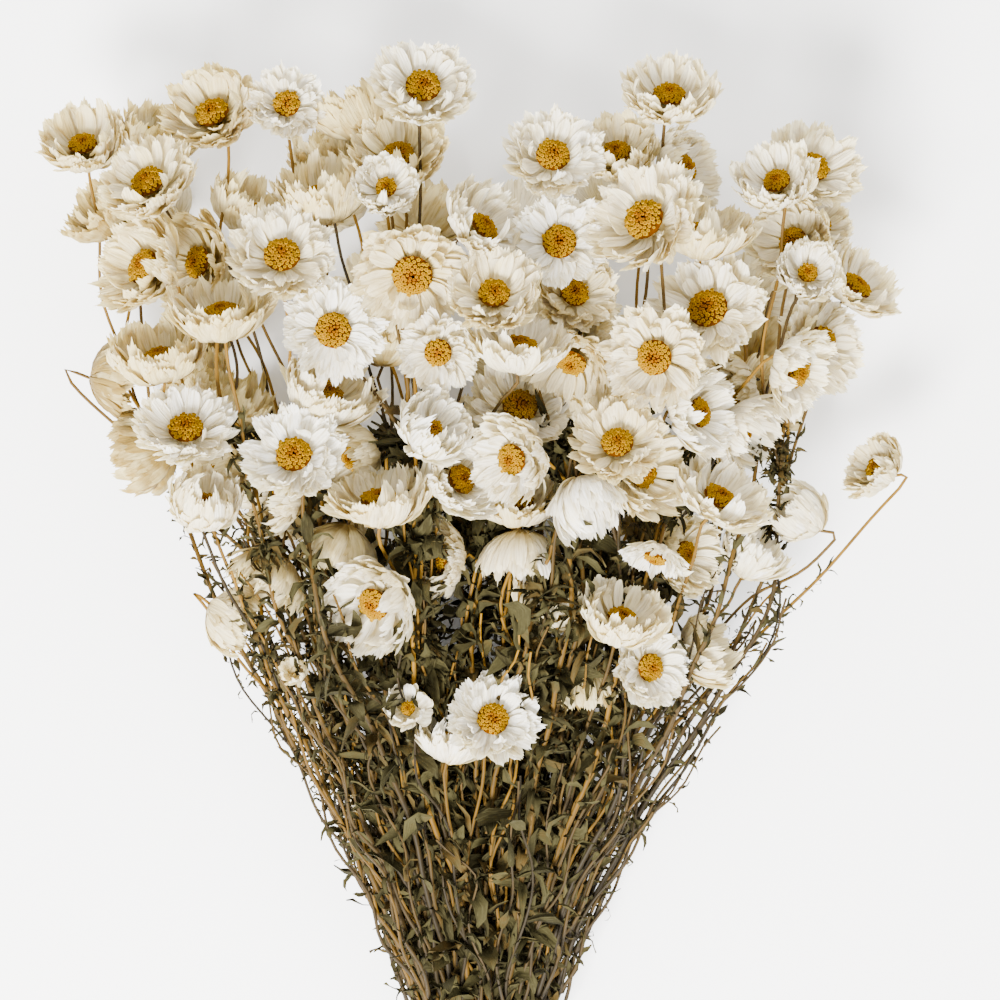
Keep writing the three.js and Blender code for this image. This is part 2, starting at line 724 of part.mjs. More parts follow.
// Plain many-sided shape that just holds a head with a little room, for keeping other sprays clear of it.
function roomForHead(head) {
  const s = headSizes(head);
  const rise = head.radius * 0.1 + CLEARANCE;
  const wide = (radius) => (radius * 1.07 + CLEARANCE) / Math.cos(Math.PI / ROOM_SIDES);
  const profile = [
    [s.base - CLEARANCE * 2, STALK_RADIUS + CLEARANCE * 2],
    [s.shoulder[1] - CLEARANCE, wide(s.shoulder[0])],
    [s.tip[1] - rise, wide(s.tip[0])],
    [s.tip[1] + rise, wide(s.tip[0])],
    [Math.max(s.inner[1], s.crest) + rise, wide(s.inner[0])],
  ];
  const path = profile.map(([height]) => head.at.clone().addScaledVector(head.axis, height));
  return tube(path, profile.map(([, radius]) => radius), ROOM_SIDES);
}

// One leaf that clasps its stem: a thin arched blade that grows out of the corners of a facet of the stem.
function addLeaf(heel, along, out, length, points, triangles) {
  const root = new THREE.Vector3();
  for (const n of heel) root.addScaledVector(points[n], 1 / heel.length);
  const across = along.clone().cross(out).normalize();
  const put = (far, side, lift) => {
    const p = root.clone().addScaledVector(along, far * length * LEAF_CLIMB - lift * 0.6);
    p.addScaledVector(out, length * LEAF_SPREAD * far * (1.5 - far) + lift);
    p.addScaledVector(across, side * LEAF_WIDTH);
    return points.push(p) - 1;
  };
  const left = put(0.5, -0.5, LEAF_ARCH);
  const back = put(0.5, 0, LEAF_THICKNESS);
  const body = [left, back, put(0.5, 0.5, LEAF_ARCH), put(0.5, 0, -LEAF_THICKNESS)];
  const tip = put(1, 0, 0);
  for (let i = 0; i < 4; i++) {
    const j = (i + 1) % 4;
    triangles.push([heel[i], heel[j], body[i]], [heel[j], body[j], body[i]], [body[i], body[j], tip]);
  }
}

// One spray as a solid, with and without its leaves, and the plain rooms that its stems and heads take up.
function buildSpray({ lead, stem, stalks }, index) {
  const home = stem[3];
  const across = home.x / halfWidth(home.y);
  const deep = (home.z - middle(home.y)) / halfDepth(home.y);
  const leafy = Math.hypot(across, deep) > OUTER && deep > -OUTER / 2;
  const leaves = [];
  const path = stem.slice(0, 2);
  stem.slice(2).forEach((p, k) => {
    if (!leafy || p.y > LEAF_TOP || k > stem.length - 6) return path.push(p);
    const y = p.y + LEAF_SCATTER * (draw(index, 61 + k) - 0.5);
    const length = LEAF_LENGTH * (0.8 + 0.4 * draw(index, 71 + k));
    leaves.push({ ring: path.length, length });
    return path.push(pointAt(stem, y), pointAt(stem, y + LEAF_FOOT));
  });
  const radii = path.map((p, k) => (k < path.length - 3 ? STEM_RADIUS : STALK_RADIUS));
  let solid = stalkAndHead(path, radii, lead, leaves);
  let bare = stalkAndHead(path, radii, lead, []);
  let stems = tube(path, radii, 3);
  let stemRoom = tube(path, radii.map((r) => r + CLEARANCE), 3);
  let headRoom = roomForHead(lead);
  for (const { head, path: stalk } of stalks) {
    const thin = stalk.map((p, k) => (k ? STALK_RADIUS : STALK_ROOT));
    const flower = stalkAndHead(stalk, thin, head, []);
    solid = solid.add(flower);
    bare = bare.add(flower);
    stems = stems.add(tube(stalk, stalk.map(() => STALK_RADIUS), 3));
    stemRoom = stemRoom.add(tube(stalk, stalk.map(() => STALK_RADIUS + CLEARANCE * 1.5), 3));
    headRoom = headRoom.add(roomForHead(head));
  }
  return { solid, bare, stems, stemRoom, headRoom };
}

// Box as a solid, from its middle and its size.
function slab(at, size) {
  const g = new THREE.BoxGeometry(...size);
  g.translate(...at);
  g.deleteAttribute("normal");
  g.deleteAttribute("uv");
  return solidOf(mergeVertices(g, WELD));
}

// The pieces of a solid, the largest first.
const piecesOf = (solid) => solid.decompose().sort((a, b) => b.volume() - a.volume());

// Keeps the sprays clear of each other: heads make way for stems and for the heads before them.
// Sprays whose stems cross are grown together, and go by the number of the first of them.
function settle(built) {
  const joined = built.map((b, i) => i);
  built.forEach((mine, i) => {
    for (let j = 0; j < i; j++) {
      if (joined[i] === joined[j]) continue;
      const crossed = mine.bare.subtract(mine.headRoom).intersect(built[j].stemRoom).volume();
      if (crossed < CROSS_LIMIT) continue;
      const [keep, gone] = [Math.min(joined[i], joined[j]), Math.max(joined[i], joined[j])];
      joined.forEach((g, k) => {
        if (g === gone) joined[k] = keep;
      });
    }
  });
  const groups = new Map();
  built.forEach((mine, i) => {
    let { solid } = mine;
    built.forEach((other, j) => {
      if (joined[j] === joined[i]) return;
      if (solid.intersect(other.stems).volume() > TOUCH_LIMIT) solid = solid.subtract(other.stemRoom);
      if (j > i || solid.intersect(other.bare).volume() < TOUCH_LIMIT) return;
      solid = solid.subtract(other.headRoom.subtract(mine.stemRoom));
    });
    const before = groups.get(joined[i]);
    groups.set(joined[i], before ? before.add(solid) : solid);
  });
  const floor = slab([0, FLOOR_DEPTH, -FLOOR_DEPTH / 2], [FLOOR_SIZE, FLOOR_SIZE, FLOOR_DEPTH]);
  const names = [...groups.keys()];
  for (const b of names) groups.set(b, groups.get(b).subtract(floor));
  for (let round = 0; round < 2; round++) {
    names.forEach((b, k) => {
      const rounded = solidOf(cleanGeometry(groups.get(b)));
      groups.set(b, names.slice(0, k).reduce((solid, a) => clearOf(groups.get(a), solid), rounded));
    });
  }
  return groups;
}

// The second solid, cut back where it still touches the first, as where a leaf crosses a leaf.
function clearOf(first, second) {
  let solid = second;
  const common = first.intersect(second);
  if (common.volume() < TOUCH_LIMIT) return solid;
  for (const piece of common.decompose()) {
    const { min, max } = piece.boundingBox();
    const centre = min.map((v, i) => (v + max[i]) / 2);
    solid = solid.subtract(slab(centre, min.map((v, i) => max[i] - v + 2 * CLEARANCE)));
  }
  return piecesOf(solid)[0];
}

// Geometry of the largest piece of a solid, its corners rounded to a fine grid.
// No two corners share a place, and no face is thinner than a step of the grid.
function cleanGeometry(solid) {
  const mesh = piecesOf(solid)[0].getMesh();
  const corners = Array.from(mesh.vertProperties, (v) => Math.round(v / GRID));
  const faces = mesh.triVerts;
  const taken = new Map();
  const key = (n) => corners.slice(3 * n, 3 * n + 3).join();
  const shift = (n, axis) => {
    if (taken.get(key(n)) === n) taken.delete(key(n));
    do corners[3 * n + axis] += 1;
    while (taken.has(key(n)));
    taken.set(key(n), n);
  };
  for (let n = 0; n < corners.length / 3; n++) {
    if (taken.has(key(n))) shift(n, n % 3);
    else taken.set(key(n), n);
  }
  const at = (n) => new THREE.Vector3(...corners.slice(3 * n, 3 * n + 3));
  for (let round = 0; round < CLEAN_ROUNDS; round++) {
    for (let i = 0; i < faces.length; i += 3) {
      const [a, b, c] = [faces[i], faces[i + 1], faces[i + 2]];
      const longest = [[a, b, c], [b, c, a], [c, a, b]].reduce((best, e) =>
        at(e[0]).distanceTo(at(e[1])) > at(best[0]).distanceTo(at(best[1])) ? e : best,
      );
      const run = at(longest[1]).sub(at(longest[0]));
      if (run.clone().cross(at(longest[2]).sub(at(longest[0]))).length() / run.length() > 1) continue;
      const flat = run.toArray().map(Math.abs);
      shift(longest[2], flat.indexOf(Math.min(...flat)));
    }
  }
  const g = new THREE.BufferGeometry();
  g.setAttribute("position", new THREE.Float32BufferAttribute(corners.map((v) => v * GRID), 3));
  g.setIndex(new THREE.BufferAttribute(faces, 1));
  return g;
}

// The band that holds the stems together, an oval ring that rests on the surface.
function tie() {
  const inner = [TIE_HALF_WIDTH, TIE_HALF_DEPTH].map((v) => v + STEM_RADIUS + 2 * CLEARANCE);
  const outline = new THREE.Shape();
  outline.absellipse(0, 0, inner[0] + BAND_THICKNESS, inner[1] + BAND_THICKNESS, 0, 2 * Math.PI, false, 0);
  const hole = new THREE.Path();
  hole.absellipse(0, 0, inner[0], inner[1], 0, 2 * Math.PI, true, 0);
  outline.holes.push(hole);
  const g = new THREE.ExtrudeGeometry(outline, { depth: BAND_WIDTH, bevelEnabled: false, curveSegments: 10 });
  g.rotateX(Math.PI / 2);
  g.translate(0, BAND_WIDTH / 2, middle(0));
  return g;
}

const sprays = laySprays();
easeApart(sprays.flat());
const runs = stemRuns();
const laid = sprays.map((heads, i) => layStems(heads, runs[i]));
steerStems(laid);
const built = laid.map(buildSpray);
const groups = settle(built);

const bunch = new THREE.Group();
const PAPER_WHITE = new THREE.Color(0xf7f3ea);
const PAPER_CREAM = new THREE.Color(0xdcc593);
const TWINE = 0x9c8257;

groups.forEach((solid, i) => {
  const cream = sprays[i].reduce((sum, head) => sum + head.cream / sprays[i].length, 0);
  const color = PAPER_WHITE.clone().lerp(PAPER_CREAM, cream);
  const node = new THREE.Mesh(
    cleanGeometry(solid),
    new THREE.MeshStandardMaterial({ color, roughness: 0.85, metalness: 0 }),
  );
  node.name = `spray_${String(i + 1).padStart(2, "0")}`;
  bunch.add(node);
});
const twine = new THREE.MeshStandardMaterial({ color: TWINE, roughness: 0.95, metalness: 0 });
const band = new THREE.Mesh(tie(), twine);
band.name = "tie";
bunch.add(band);

// The origin is the middle of the bunch's footprint, on the surface.
const box = new THREE.Box3().setFromObject(bunch);
const foot = box.getCenter(new THREE.Vector3()).setZ(box.min.z);
bunch.position.set(snap(-foot.x), snap(-foot.y), snap(-foot.z));

export default bunch;
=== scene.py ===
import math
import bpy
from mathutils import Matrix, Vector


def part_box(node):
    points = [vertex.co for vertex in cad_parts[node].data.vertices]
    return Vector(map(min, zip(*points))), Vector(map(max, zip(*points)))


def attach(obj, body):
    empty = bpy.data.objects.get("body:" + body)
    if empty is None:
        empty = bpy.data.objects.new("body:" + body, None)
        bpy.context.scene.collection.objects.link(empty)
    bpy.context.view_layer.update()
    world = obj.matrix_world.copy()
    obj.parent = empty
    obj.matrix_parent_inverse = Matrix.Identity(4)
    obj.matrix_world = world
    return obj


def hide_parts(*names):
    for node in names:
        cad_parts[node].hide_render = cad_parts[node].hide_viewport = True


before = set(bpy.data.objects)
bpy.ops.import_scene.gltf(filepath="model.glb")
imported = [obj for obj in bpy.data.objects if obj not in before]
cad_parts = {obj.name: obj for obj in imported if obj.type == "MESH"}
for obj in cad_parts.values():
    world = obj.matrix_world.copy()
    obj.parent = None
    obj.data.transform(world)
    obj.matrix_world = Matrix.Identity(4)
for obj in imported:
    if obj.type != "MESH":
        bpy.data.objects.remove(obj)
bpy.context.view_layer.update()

# A tied bunch of dried white everlasting daisies, lying on its back and seen from straight above.
# The bunch is laid out by the same rules as its solids, in millimetres with the tie at Y = 0, and each
# spray is dressed with layered papery bracts, disc florets, round stalks and curled leaves.
from types import SimpleNamespace

import bpy
import numpy as np
from mathutils import Vector
from mathutils.kdtree import KDTree

# Driving dimensions of the bunch, as in the solids.
TIE_HALF_WIDTH = 14
TIE_HALF_DEPTH = 10
CROWN_HALF_WIDTH = 115
CROWN_HALF_DEPTH = 46
WIDTH_RUN = 232
DEPTH_RUN = 232
TAIL_LENGTH = 84
TAIL_SPLAY = 0.42
STEM_PITCH = 3.1
STEM_RADIUS = 1.22
LAYER_STEP = 17
FORK_BACK = 55
NECK = 6
CLEARANCE = 0.32
FIRST_FREE = 4
STEER_ROUNDS = 30
PRESSED = 0.86
HEAD_ROUNDS = 110
PLACE_APART = 0.235
OVAL = 0.9
STATIONS = [-TAIL_LENGTH, 0, 24, 50, 79, 112, 160, 205]
BAND_THICKNESS = 1.4
PIXEL = 0.28
READ_HEIGHT = 80
EYE = np.array([5.6, 191.0, 800.0])
FRAME_CENTRE = 500

# Heads read from the photograph, grouped by the spray that carries them.
# Each head: across px, down px, diameter mm, tilt from facing up, compass it leans to, openness, layer
# from the front, creaminess, which is partly the heads' own age and partly painted shade on the deeper heads.
FRONT_SPRAYS = [
    [(84, 146, 24, 45, 95, 0.6, 1, 0.55), (155, 138, 23, 55, 60, 0.5, 2, 0.7),
     (106, 216, 24, 65, 130, 0.55, 2, 0.8)],
    [(148, 187, 27, 38, 120, 0.8, 0, 0.45), (213, 113, 27, 38, 115, 0.75, 1, 0.6)],
    [(286, 104, 20, 12, 80, 0.85, 1, 0.1), (250, 212, 24, 70, 70, 0.55, 2, 0.65)],
    [(144, 262, 28, 45, 150, 0.7, 0, 0.6), (199, 263, 26, 45, 170, 0.7, 1, 0.65)],
    [(281, 256, 27, 25, 90, 0.85, 0, 0.25), (325, 195, 27, 65, 95, 0.5, 1, 0.6)],
    [(222, 314, 28, 62, 95, 0.7, 0, 0.6), (160, 358, 26, 62, 100, 0.6, 0, 0.65)],
    [(112, 378, 24, 95, 0, 0.6, 2, 0.9), (152, 448, 25, 100, 200, 0.5, 2, 0.9),
     (228, 405, 24, 80, 60, 0.5, 2, 0.75)],
    [(186, 428, 26, 40, 85, 0.9, 0, 0.1), (205, 505, 20, 45, 80, 0.25, 0, 0.35),
     (221, 470, 22, 50, 200, 0.6, 1, 0.5)],
    [(333, 330, 25, 4, 0, 1, 0, 0), (386, 345, 23, 85, 80, 0.6, 2, 0.7)],
    [(328, 403, 27, 58, 60, 0.6, 1, 0.35), (350, 450, 24, 55, 200, 0.6, 1, 0.5)],
    [(296, 452, 26, 22, 100, 0.9, 0, 0), (278, 493, 24, 60, 180, 0.6, 1, 0.4)],
    [(380, 500, 28, 68, 90, 0.75, 0, 0.45), (341, 545, 22, 95, 250, 0.5, 1, 0.6)],
    [(270, 575, 24, 75, 240, 0.6, 1, 0.6), (228, 615, 19, 85, 330, 0.3, 1, 0.6),
     (294, 672, 8, 20, 90, 0.1, 0, 0.4)],
    [(375, 603, 27, 35, 220, 0.6, 0, 0.1), (441, 560, 22, 55, 170, 0.6, 1, 0.4)],
    [(491, 719, 24, 20, 60, 0.85, 0, 0), (452, 742, 21, 75, 80, 0.5, 0, 0.15),
     (408, 709, 13, 20, 90, 0.3, 0, 0.1)],
    [(432, 433, 20, 35, 45, 0.3, 0, 0.05), (461, 478, 24, 45, 30, 0.65, 0, 0.05)],
    [(510, 460, 24, 35, 200, 0.7, 0, 0.15), (522, 405, 27, 30, 80, 0.8, 1, 0.2)],
    [(438, 350, 20, 10, 270, 0.85, 0, 0.1), (413, 278, 29, 22, 270, 0.9, 0, 0.45)],
    [(423, 86, 26, 22, 80, 0.8, 0, 0.15), (396, 158, 26, 35, 100, 0.7, 1, 0.6),
     (386, 188, 17, 15, 90, 0.5, 0, 0.1)],
    [(358, 118, 24, 75, 120, 0.5, 2, 0.75), (332, 150, 24, 75, 110, 0.5, 2, 0.75),
     (432, 212, 24, 75, 60, 0.55, 2, 0.65)],
    [(490, 232, 26, 62, 40, 0.7, 0, 0.2), (493, 296, 24, 30, 85, 0.7, 0, 0.4)],
    [(557, 238, 24, 8, 90, 1, 0, 0), (553, 155, 25, 22, 80, 0.85, 0, 0.15)],
    [(521, 345, 28, 65, 85, 0.8, 0, 0.25), (558, 325, 20, 80, 100, 0.35, 1, 0.4),
     (572, 298, 22, 25, 60, 0.7, 1, 0.45)],
    [(570, 363, 24, 50, 250, 0.7, 1, 0.45), (600, 345, 24, 80, 20, 0.6, 1, 0.4)],
    [(655, 360, 26, 20, 200, 0.85, 0, 0.35), (601, 400, 24, 80, 90, 0.5, 1, 0.55)],
    [(614, 448, 24, 30, 100, 0.8, 0, 0.45), (642, 473, 26, 40, 0, 0.75, 0, 0.4)],
    [(590, 492, 20, 70, 290, 0.3, 0, 0.05), (517, 504, 26, 70, 90, 0.75, 1, 0.45),
     (520, 552, 24, 95, 270, 0.6, 1, 0.4)],
    [(639, 223, 30, 35, 150, 0.85, 0, 0.35), (618, 154, 23, 40, 100, 0.6, 1, 0.45)],
    [(669, 96, 25, 45, 85, 0.7, 0, 0.3), (682, 168, 23, 50, 20, 0.6, 1, 0.2)],
    [(708, 308, 29, 28, 130, 0.9, 0, 0.2), (704, 232, 27, 65, 85, 0.7, 0, 0.5)],
    [(812, 168, 26, 35, 70, 0.85, 1, 0.25), (777, 182, 22, 38, 120, 0.6, 0, 0.2)],
    [(794, 242, 24, 35, 170, 0.7, 1, 0.35), (822, 224, 16, 40, 40, 0.5, 1, 0.3),
     (807, 274, 17, 20, 90, 0.4, 0, 0.1)],
    [(855, 288, 25, 60, 50, 0.75, 1, 0.35), (823, 342, 26, 35, 0, 0.9, 1, 0.25)],
    [(797, 372, 24, 50, 340, 0.75, 0, 0.25), (733, 391, 22, 55, 200, 0.6, 2, 0.5)],
    [(697, 411, 24, 50, 10, 0.6, 0, 0.1), (742, 432, 24, 70, 330, 0.6, 1, 0.2)],
    [(718, 498, 27, 60, 60, 0.8, 0, 0.25), (805, 518, 17, 80, 140, 0.15, 1, 0.25)],
    [(877, 468, 20, 62, 145, 0.7, 1, 0.45), (752, 560, 20, 80, 60, 0.4, 1, 0.2)],
    [(655, 558, 17, 70, 250, 0.9, 0, 0), (684, 554, 22, 40, 0, 0.6, 1, 0.35),
     (702, 655, 22, 75, 20, 0.5, 1, 0.4)],
    [(622, 620, 24, 55, 75, 0.6, 0, 0.4), (650, 667, 22, 30, 0, 0.8, 0, 0.05),
     (583, 682, 22, 95, 280, 0.6, 1, 0.7)],
    [(549, 603, 24, 60, 60, 0.6, 1, 0.5), (363, 800, 9, 30, 90, 0.1, 1, 0.5)],
]

# The underside of the crown: rows of sprays that face down and out from the middle of the stems.
UNDER_ROWS = [(168, [-40, 36]), (211, [-72, -4, 70]), (254, [-84, -32, 26, 84])]
UNDER_ALONG = 26
UNDER_ACROSS = 15
FLANK = 50
FLANK_RAISED = 28
FLANK_LEAN = 82
UNDER_LEAN = 112
UNDER_CENTRE = 150
UNDER_RADIUS = 11.6
UP = np.array([0.0, 0.0, 1.0])


def draw(a, b):
    """A repeatable draw from 0 to 1 for item a, use b."""
    s = math.sin(a * 12.9898 + b * 78.233) * 43758.5453
    return s - math.floor(s)


def mix(a, b, t):
    return a + (b - a) * t


def smooth(t):
    c = np.clip(t, 0, 1)
    return c * c * (3 - 2 * c)


def opening(t):
    """Share of the way from the tie's size to the crown's: a slow start, then an even fan."""
    return mix(smooth(t), min(1, t), 0.25)


def half_width(y):
    if y < 0:
        return TIE_HALF_WIDTH * (1 + (TAIL_SPLAY * -y) / TAIL_LENGTH)
    return mix(TIE_HALF_WIDTH, CROWN_HALF_WIDTH, opening(y / WIDTH_RUN))


def half_depth(y):
    if y < 0:
        return TIE_HALF_DEPTH * (1 + (TAIL_SPLAY * -y) / TAIL_LENGTH)
    return mix(TIE_HALF_DEPTH, CROWN_HALF_DEPTH, opening(y / DEPTH_RUN))


def middle(y):
    """Height of the bunch's middle line: its underside lies along the surface."""
    return half_depth(y) + STEM_RADIUS + 2 * CLEARANCE + BAND_THICKNESS


def facing(tilt, compass):
    """Unit vector that leans by tilt degrees from straight up towards a compass: 0 is +X, 90 is +Y."""
    t, c = math.radians(tilt), math.radians(compass)
    return np.array([math.sin(t) * math.cos(c), math.sin(t) * math.sin(c), math.cos(t)])


def seen_head(row, serial):
    """A head as the photograph shows it, brought to the height of its own layer."""
    across, down, diameter, tilt, compass, opened, layer, cream = row
    x = EYE[0] + (across - FRAME_CENTRE) * PIXEL
    y = EYE[1] + (FRAME_CENTRE - down) * PIXEL
    u = min(0.97, abs(x) / (half_width(y) + 6))
    top = middle(y) + half_depth(y) * math.sqrt(1 - u * u)
    z = max(diameter * 0.55, top - LAYER_STEP * layer)
    reach = (EYE[2] - z) / (EYE[2] - READ_HEIGHT)
    at = np.array([EYE[0] + (x - EYE[0]) * reach, EYE[1] + (y - EYE[1]) * reach, z])
    return SimpleNamespace(serial=serial, at=at, axis=facing(tilt, compass), radius=diameter / 2,
                           open=opened, cream=cream, front=True, layer=layer)


def under_head(x, y, raised, serial):
    """A head on the underside of the crown, facing down and out, or out from the flank."""
    outward = math.degrees(math.atan2(y - UNDER_CENTRE, x * 1.6))
    lean = FLANK_LEAN if raised > FLANK_RAISED / 2 else UNDER_LEAN
    axis = facing(lean + 30 * draw(serial, 1), outward + 50 * (draw(serial, 3) - 0.5))
    head = SimpleNamespace(serial=serial, at=np.array([x, y, 0.0]), axis=axis,
                           radius=UNDER_RADIUS + 1.8 * draw(serial, 4), open=0.5 + 0.35 * draw(serial, 5),
                           cream=0.35 + 0.5 * draw(serial, 6), front=False, layer=2)
    head.at[2] = reach_of(head, UP) * PRESSED + raised
    return head


def lay_sprays():
    """All sprays, each a list of heads."""
    laid, serial = [], 0
    for rows in FRONT_SPRAYS:
        laid.append([seen_head(row, serial + k) for k, row in enumerate(rows)])
        serial += len(rows)
    for row_y, across in UNDER_ROWS:
        for x in across:
            side = -1 if draw(serial, 7) < 0.5 else 1
            y = row_y + 8 * (draw(serial, 8) - 0.5)
            first = under_head(x, y, 0, serial)
            second = under_head(x + side * UNDER_ACROSS, y + UNDER_ALONG, 4 * draw(serial + 1, 2), serial + 1)
            if abs(x) > FLANK:
                third = under_head(x + math.copysign(14, x), y + 12, FLANK_RAISED, serial + 2)
            else:
                third = under_head(x - side * UNDER_ACROSS, y + 18, 8, serial + 2)
            serial += 3
            laid.append([first, second, third])
    return laid


def ball_of(radius, opened):
    """The flattened ball that a head fills: half width, half depth and height of its middle."""
    wide = radius * mix(0.86, 0.97, opened)
    deep = radius * mix(0.85, 0.34, opened) + 0.4
    return wide, deep, radius * mix(0.16, -0.11, opened)


def reach_of(head, way):
    """Reach of a head from its middle in a direction."""
    along = abs(float(head.axis @ way))
    wide, deep, _ = ball_of(head.radius, head.open)
    return math.hypot(wide * math.sqrt(max(0, 1 - along * along)), deep * along)


def middle_of(head):
    return head.at + head.axis * ball_of(head.radius, head.open)[2]


def ease_apart(heads):
    """Eases overlapping heads apart, mostly in depth, so that each keeps its place as seen from above."""
    at = np.array([h.at for h in heads])
    home = at.copy()
    axis = np.array([h.axis for h in heads])
    radius, opened = np.array([(h.radius, h.open) for h in heads]).T
    hold = np.array([0.45 if h.front else 1 for h in heads])[:, None]
    floor = np.array([reach_of(h, UP) * PRESSED for h in heads])
    wide, deep, height = ball_of(radius, opened)
    lift = axis * height[:, None]
    first, second = np.triu_indices(len(heads), 1)

    def reach(which, way):
        along = np.abs((axis[which] * way).sum(1))
        return np.hypot(wide[which] * np.sqrt(np.maximum(0, 1 - along**2)), deep[which] * along)

    for _ in range(HEAD_ROUNDS):
        centre = at + lift
        gap = centre[second] - centre[first]
        far = np.linalg.norm(gap, axis=1)
        near = far <= radius[first] + radius[second] + 2
        i, j, gap, far = first[near], second[near], gap[near], far[near]
        least = np.full(len(i), np.inf)
        best = np.zeros_like(gap)
        for way in (axis[i], axis[j], np.broadcast_to(UP, gap.shape), gap / far[:, None]):
            m = np.where(((gap * way).sum(1) < 0)[:, None], -way, way)
            depth = reach(i, m) + reach(j, m) + 0.4 - (gap * m).sum(1)
            better = depth < least
            least = np.where(better, depth, least)
            best = np.where(better[:, None], m, best)
        push = best * (0.3 * np.maximum(0, least))[:, None]
        moves = np.zeros_like(at)
        np.add.at(moves, i, -push)
        np.add.at(moves, j, push)
        at[:, :2] += moves[:, :2] * hold
        at[:, 2] += moves[:, 2]
        at[:, :2] = mix(at[:, :2], home[:, :2], 0.06)
        at[:, 2] = np.maximum(mix(at[:, 2], home[:, 2], 0.015), floor)
    for h, place in zip(heads, at):
        h.at = place


def spread(points, apart, rounds, wide, deep):
    """Pushes points at least some distance apart and keeps them inside an oval."""
    for _ in range(rounds):
        for i, a in enumerate(points):
            for b in points[i + 1:]:
                dx, dz = b[0] - a[0], b[1] - a[1]
                d = math.hypot(dx, dz) + 1e-6
                if d >= apart:
                    continue
                push = 0.5 * (apart - d) / d
                a[0] -= dx * push
                a[1] -= dz * push
                b[0] += dx * push
                b[1] += dz * push
        for p in points:
            r = math.hypot(p[0] / wide, p[1] / deep)
            if r > OVAL:
                p[0] *= OVAL / r
                p[1] *= OVAL / r


def stem_places(sprays):
    """Place of each spray's stem: across and deep, as shares of the bunch's half width and half depth."""
    places = []
    for heads in sprays:
        x = sum(h.at[0] / (half_width(h.at[1]) + 8) for h in heads) / len(heads)
        z = sum((h.at[2] - middle(h.at[1])) / (half_depth(h.at[1]) + 8) for h in heads) / len(heads)
        places.append([x * 0.86, z * 0.78])
    spread(places, PLACE_APART, 80, 1, 1)
    return places


def tie_seats(count):
    """Seats for the stems under the tie, in rows like stacked pencils, as x and height from the middle."""
    rise = STEM_PITCH * math.sin(math.pi / 3)
    seats = []
    for row in range(-4, 5):
        for col in range(-6, 7):
            x, z = (col + (0.5 if row % 2 else 0)) * STEM_PITCH, row * rise
            seats.append((math.hypot(x / TIE_HALF_WIDTH, z / TIE_HALF_DEPTH), x, z))
    seats.sort(key=lambda s: s[0])
    return sorted([(z, x) for _, x, z in seats[:count]])


def seat_order(places):
    """Gives every spray a seat under the tie, row by row, in the order of its place in the bunch."""
    seats = tie_seats(len(places))
    order = sorted(range(len(places)), key=lambda i: places[i][1])
    given = {}
    start = 0
    while start < len(seats):
        end = start
        while end < len(seats) and abs(seats[end][0] - seats[start][0]) < 1e-6:
            end += 1
        row = sorted(order[start:end], key=lambda i: places[i][0])
        for k, spray in enumerate(row):
            given[spray] = (seats[start + k][1], seats[start + k][0])
        start = end
    return given


def stem_runs(sprays):
    """Runs of all stems: at each station they open out from their seats to their places and stay apart."""
    places = stem_places(sprays)
    seats = seat_order(places)
    runs = [[] for _ in sprays]
    for y in STATIONS:
        t = smooth((y - 4) / 130)
        wide, deep = half_width(y), half_depth(y)
        points = []
        for i in range(len(sprays)):
            points.append([mix(seats[i][0] * wide / TIE_HALF_WIDTH, places[i][0] * wide, t),
                           mix(seats[i][1] * deep / TIE_HALF_DEPTH, places[i][1] * deep, t)])
        if y > 0:
            spread(points, 2 * STEM_RADIUS + CLEARANCE, 30, wide / OVAL, deep / OVAL)
        for run, (x, z) in zip(runs, points):
            run.append(np.array([x, y, middle(y) + z]))
    return runs


def point_at(run, y):
    """Point of a run of points at a distance y above the tie."""
    k = 1
    while k < len(run) - 1 and run[k][1] < y:
        k += 1
    t = (y - run[k - 1][1]) / (run[k][1] - run[k - 1][1])
    return mix(run[k - 1], run[k], min(1.2, t))


def fork_of(head):
    return max(58, min(head.at[1] - FORK_BACK, STATIONS[-1]))


def base_of(head):
    return -head.radius * mix(0.72, 0.42, head.open)


def neck_of(head):
    """Ends of the straight stretch of stalk right behind a head."""
    back = head.at + head.axis * base_of(head)
    return [back - head.axis * min(NECK, head.radius), back]


def lay_stems(heads, run):
    """Stem of a spray and the stalks that branch from it. The stem leads to the highest head."""
    lead = max(heads, key=lambda h: h.at[1])
    stem = [p.copy() for p in run if p[1] < fork_of(lead) - 8]
    stem[0][1] += 10 * draw(lead.serial, 9)
    neck, back = neck_of(lead)
    stem += [mix(stem[-1], neck, 0.45), neck, back]
    stalks = []
    for head in heads:
        if head is not lead:
            root = point_at(stem, fork_of(head))
            ends = neck_of(head)
            stalks.append((head, [root, mix(root, ends[0], 0.5), *ends]))
    return SimpleNamespace(lead=lead, stem=stem, stalks=stalks)


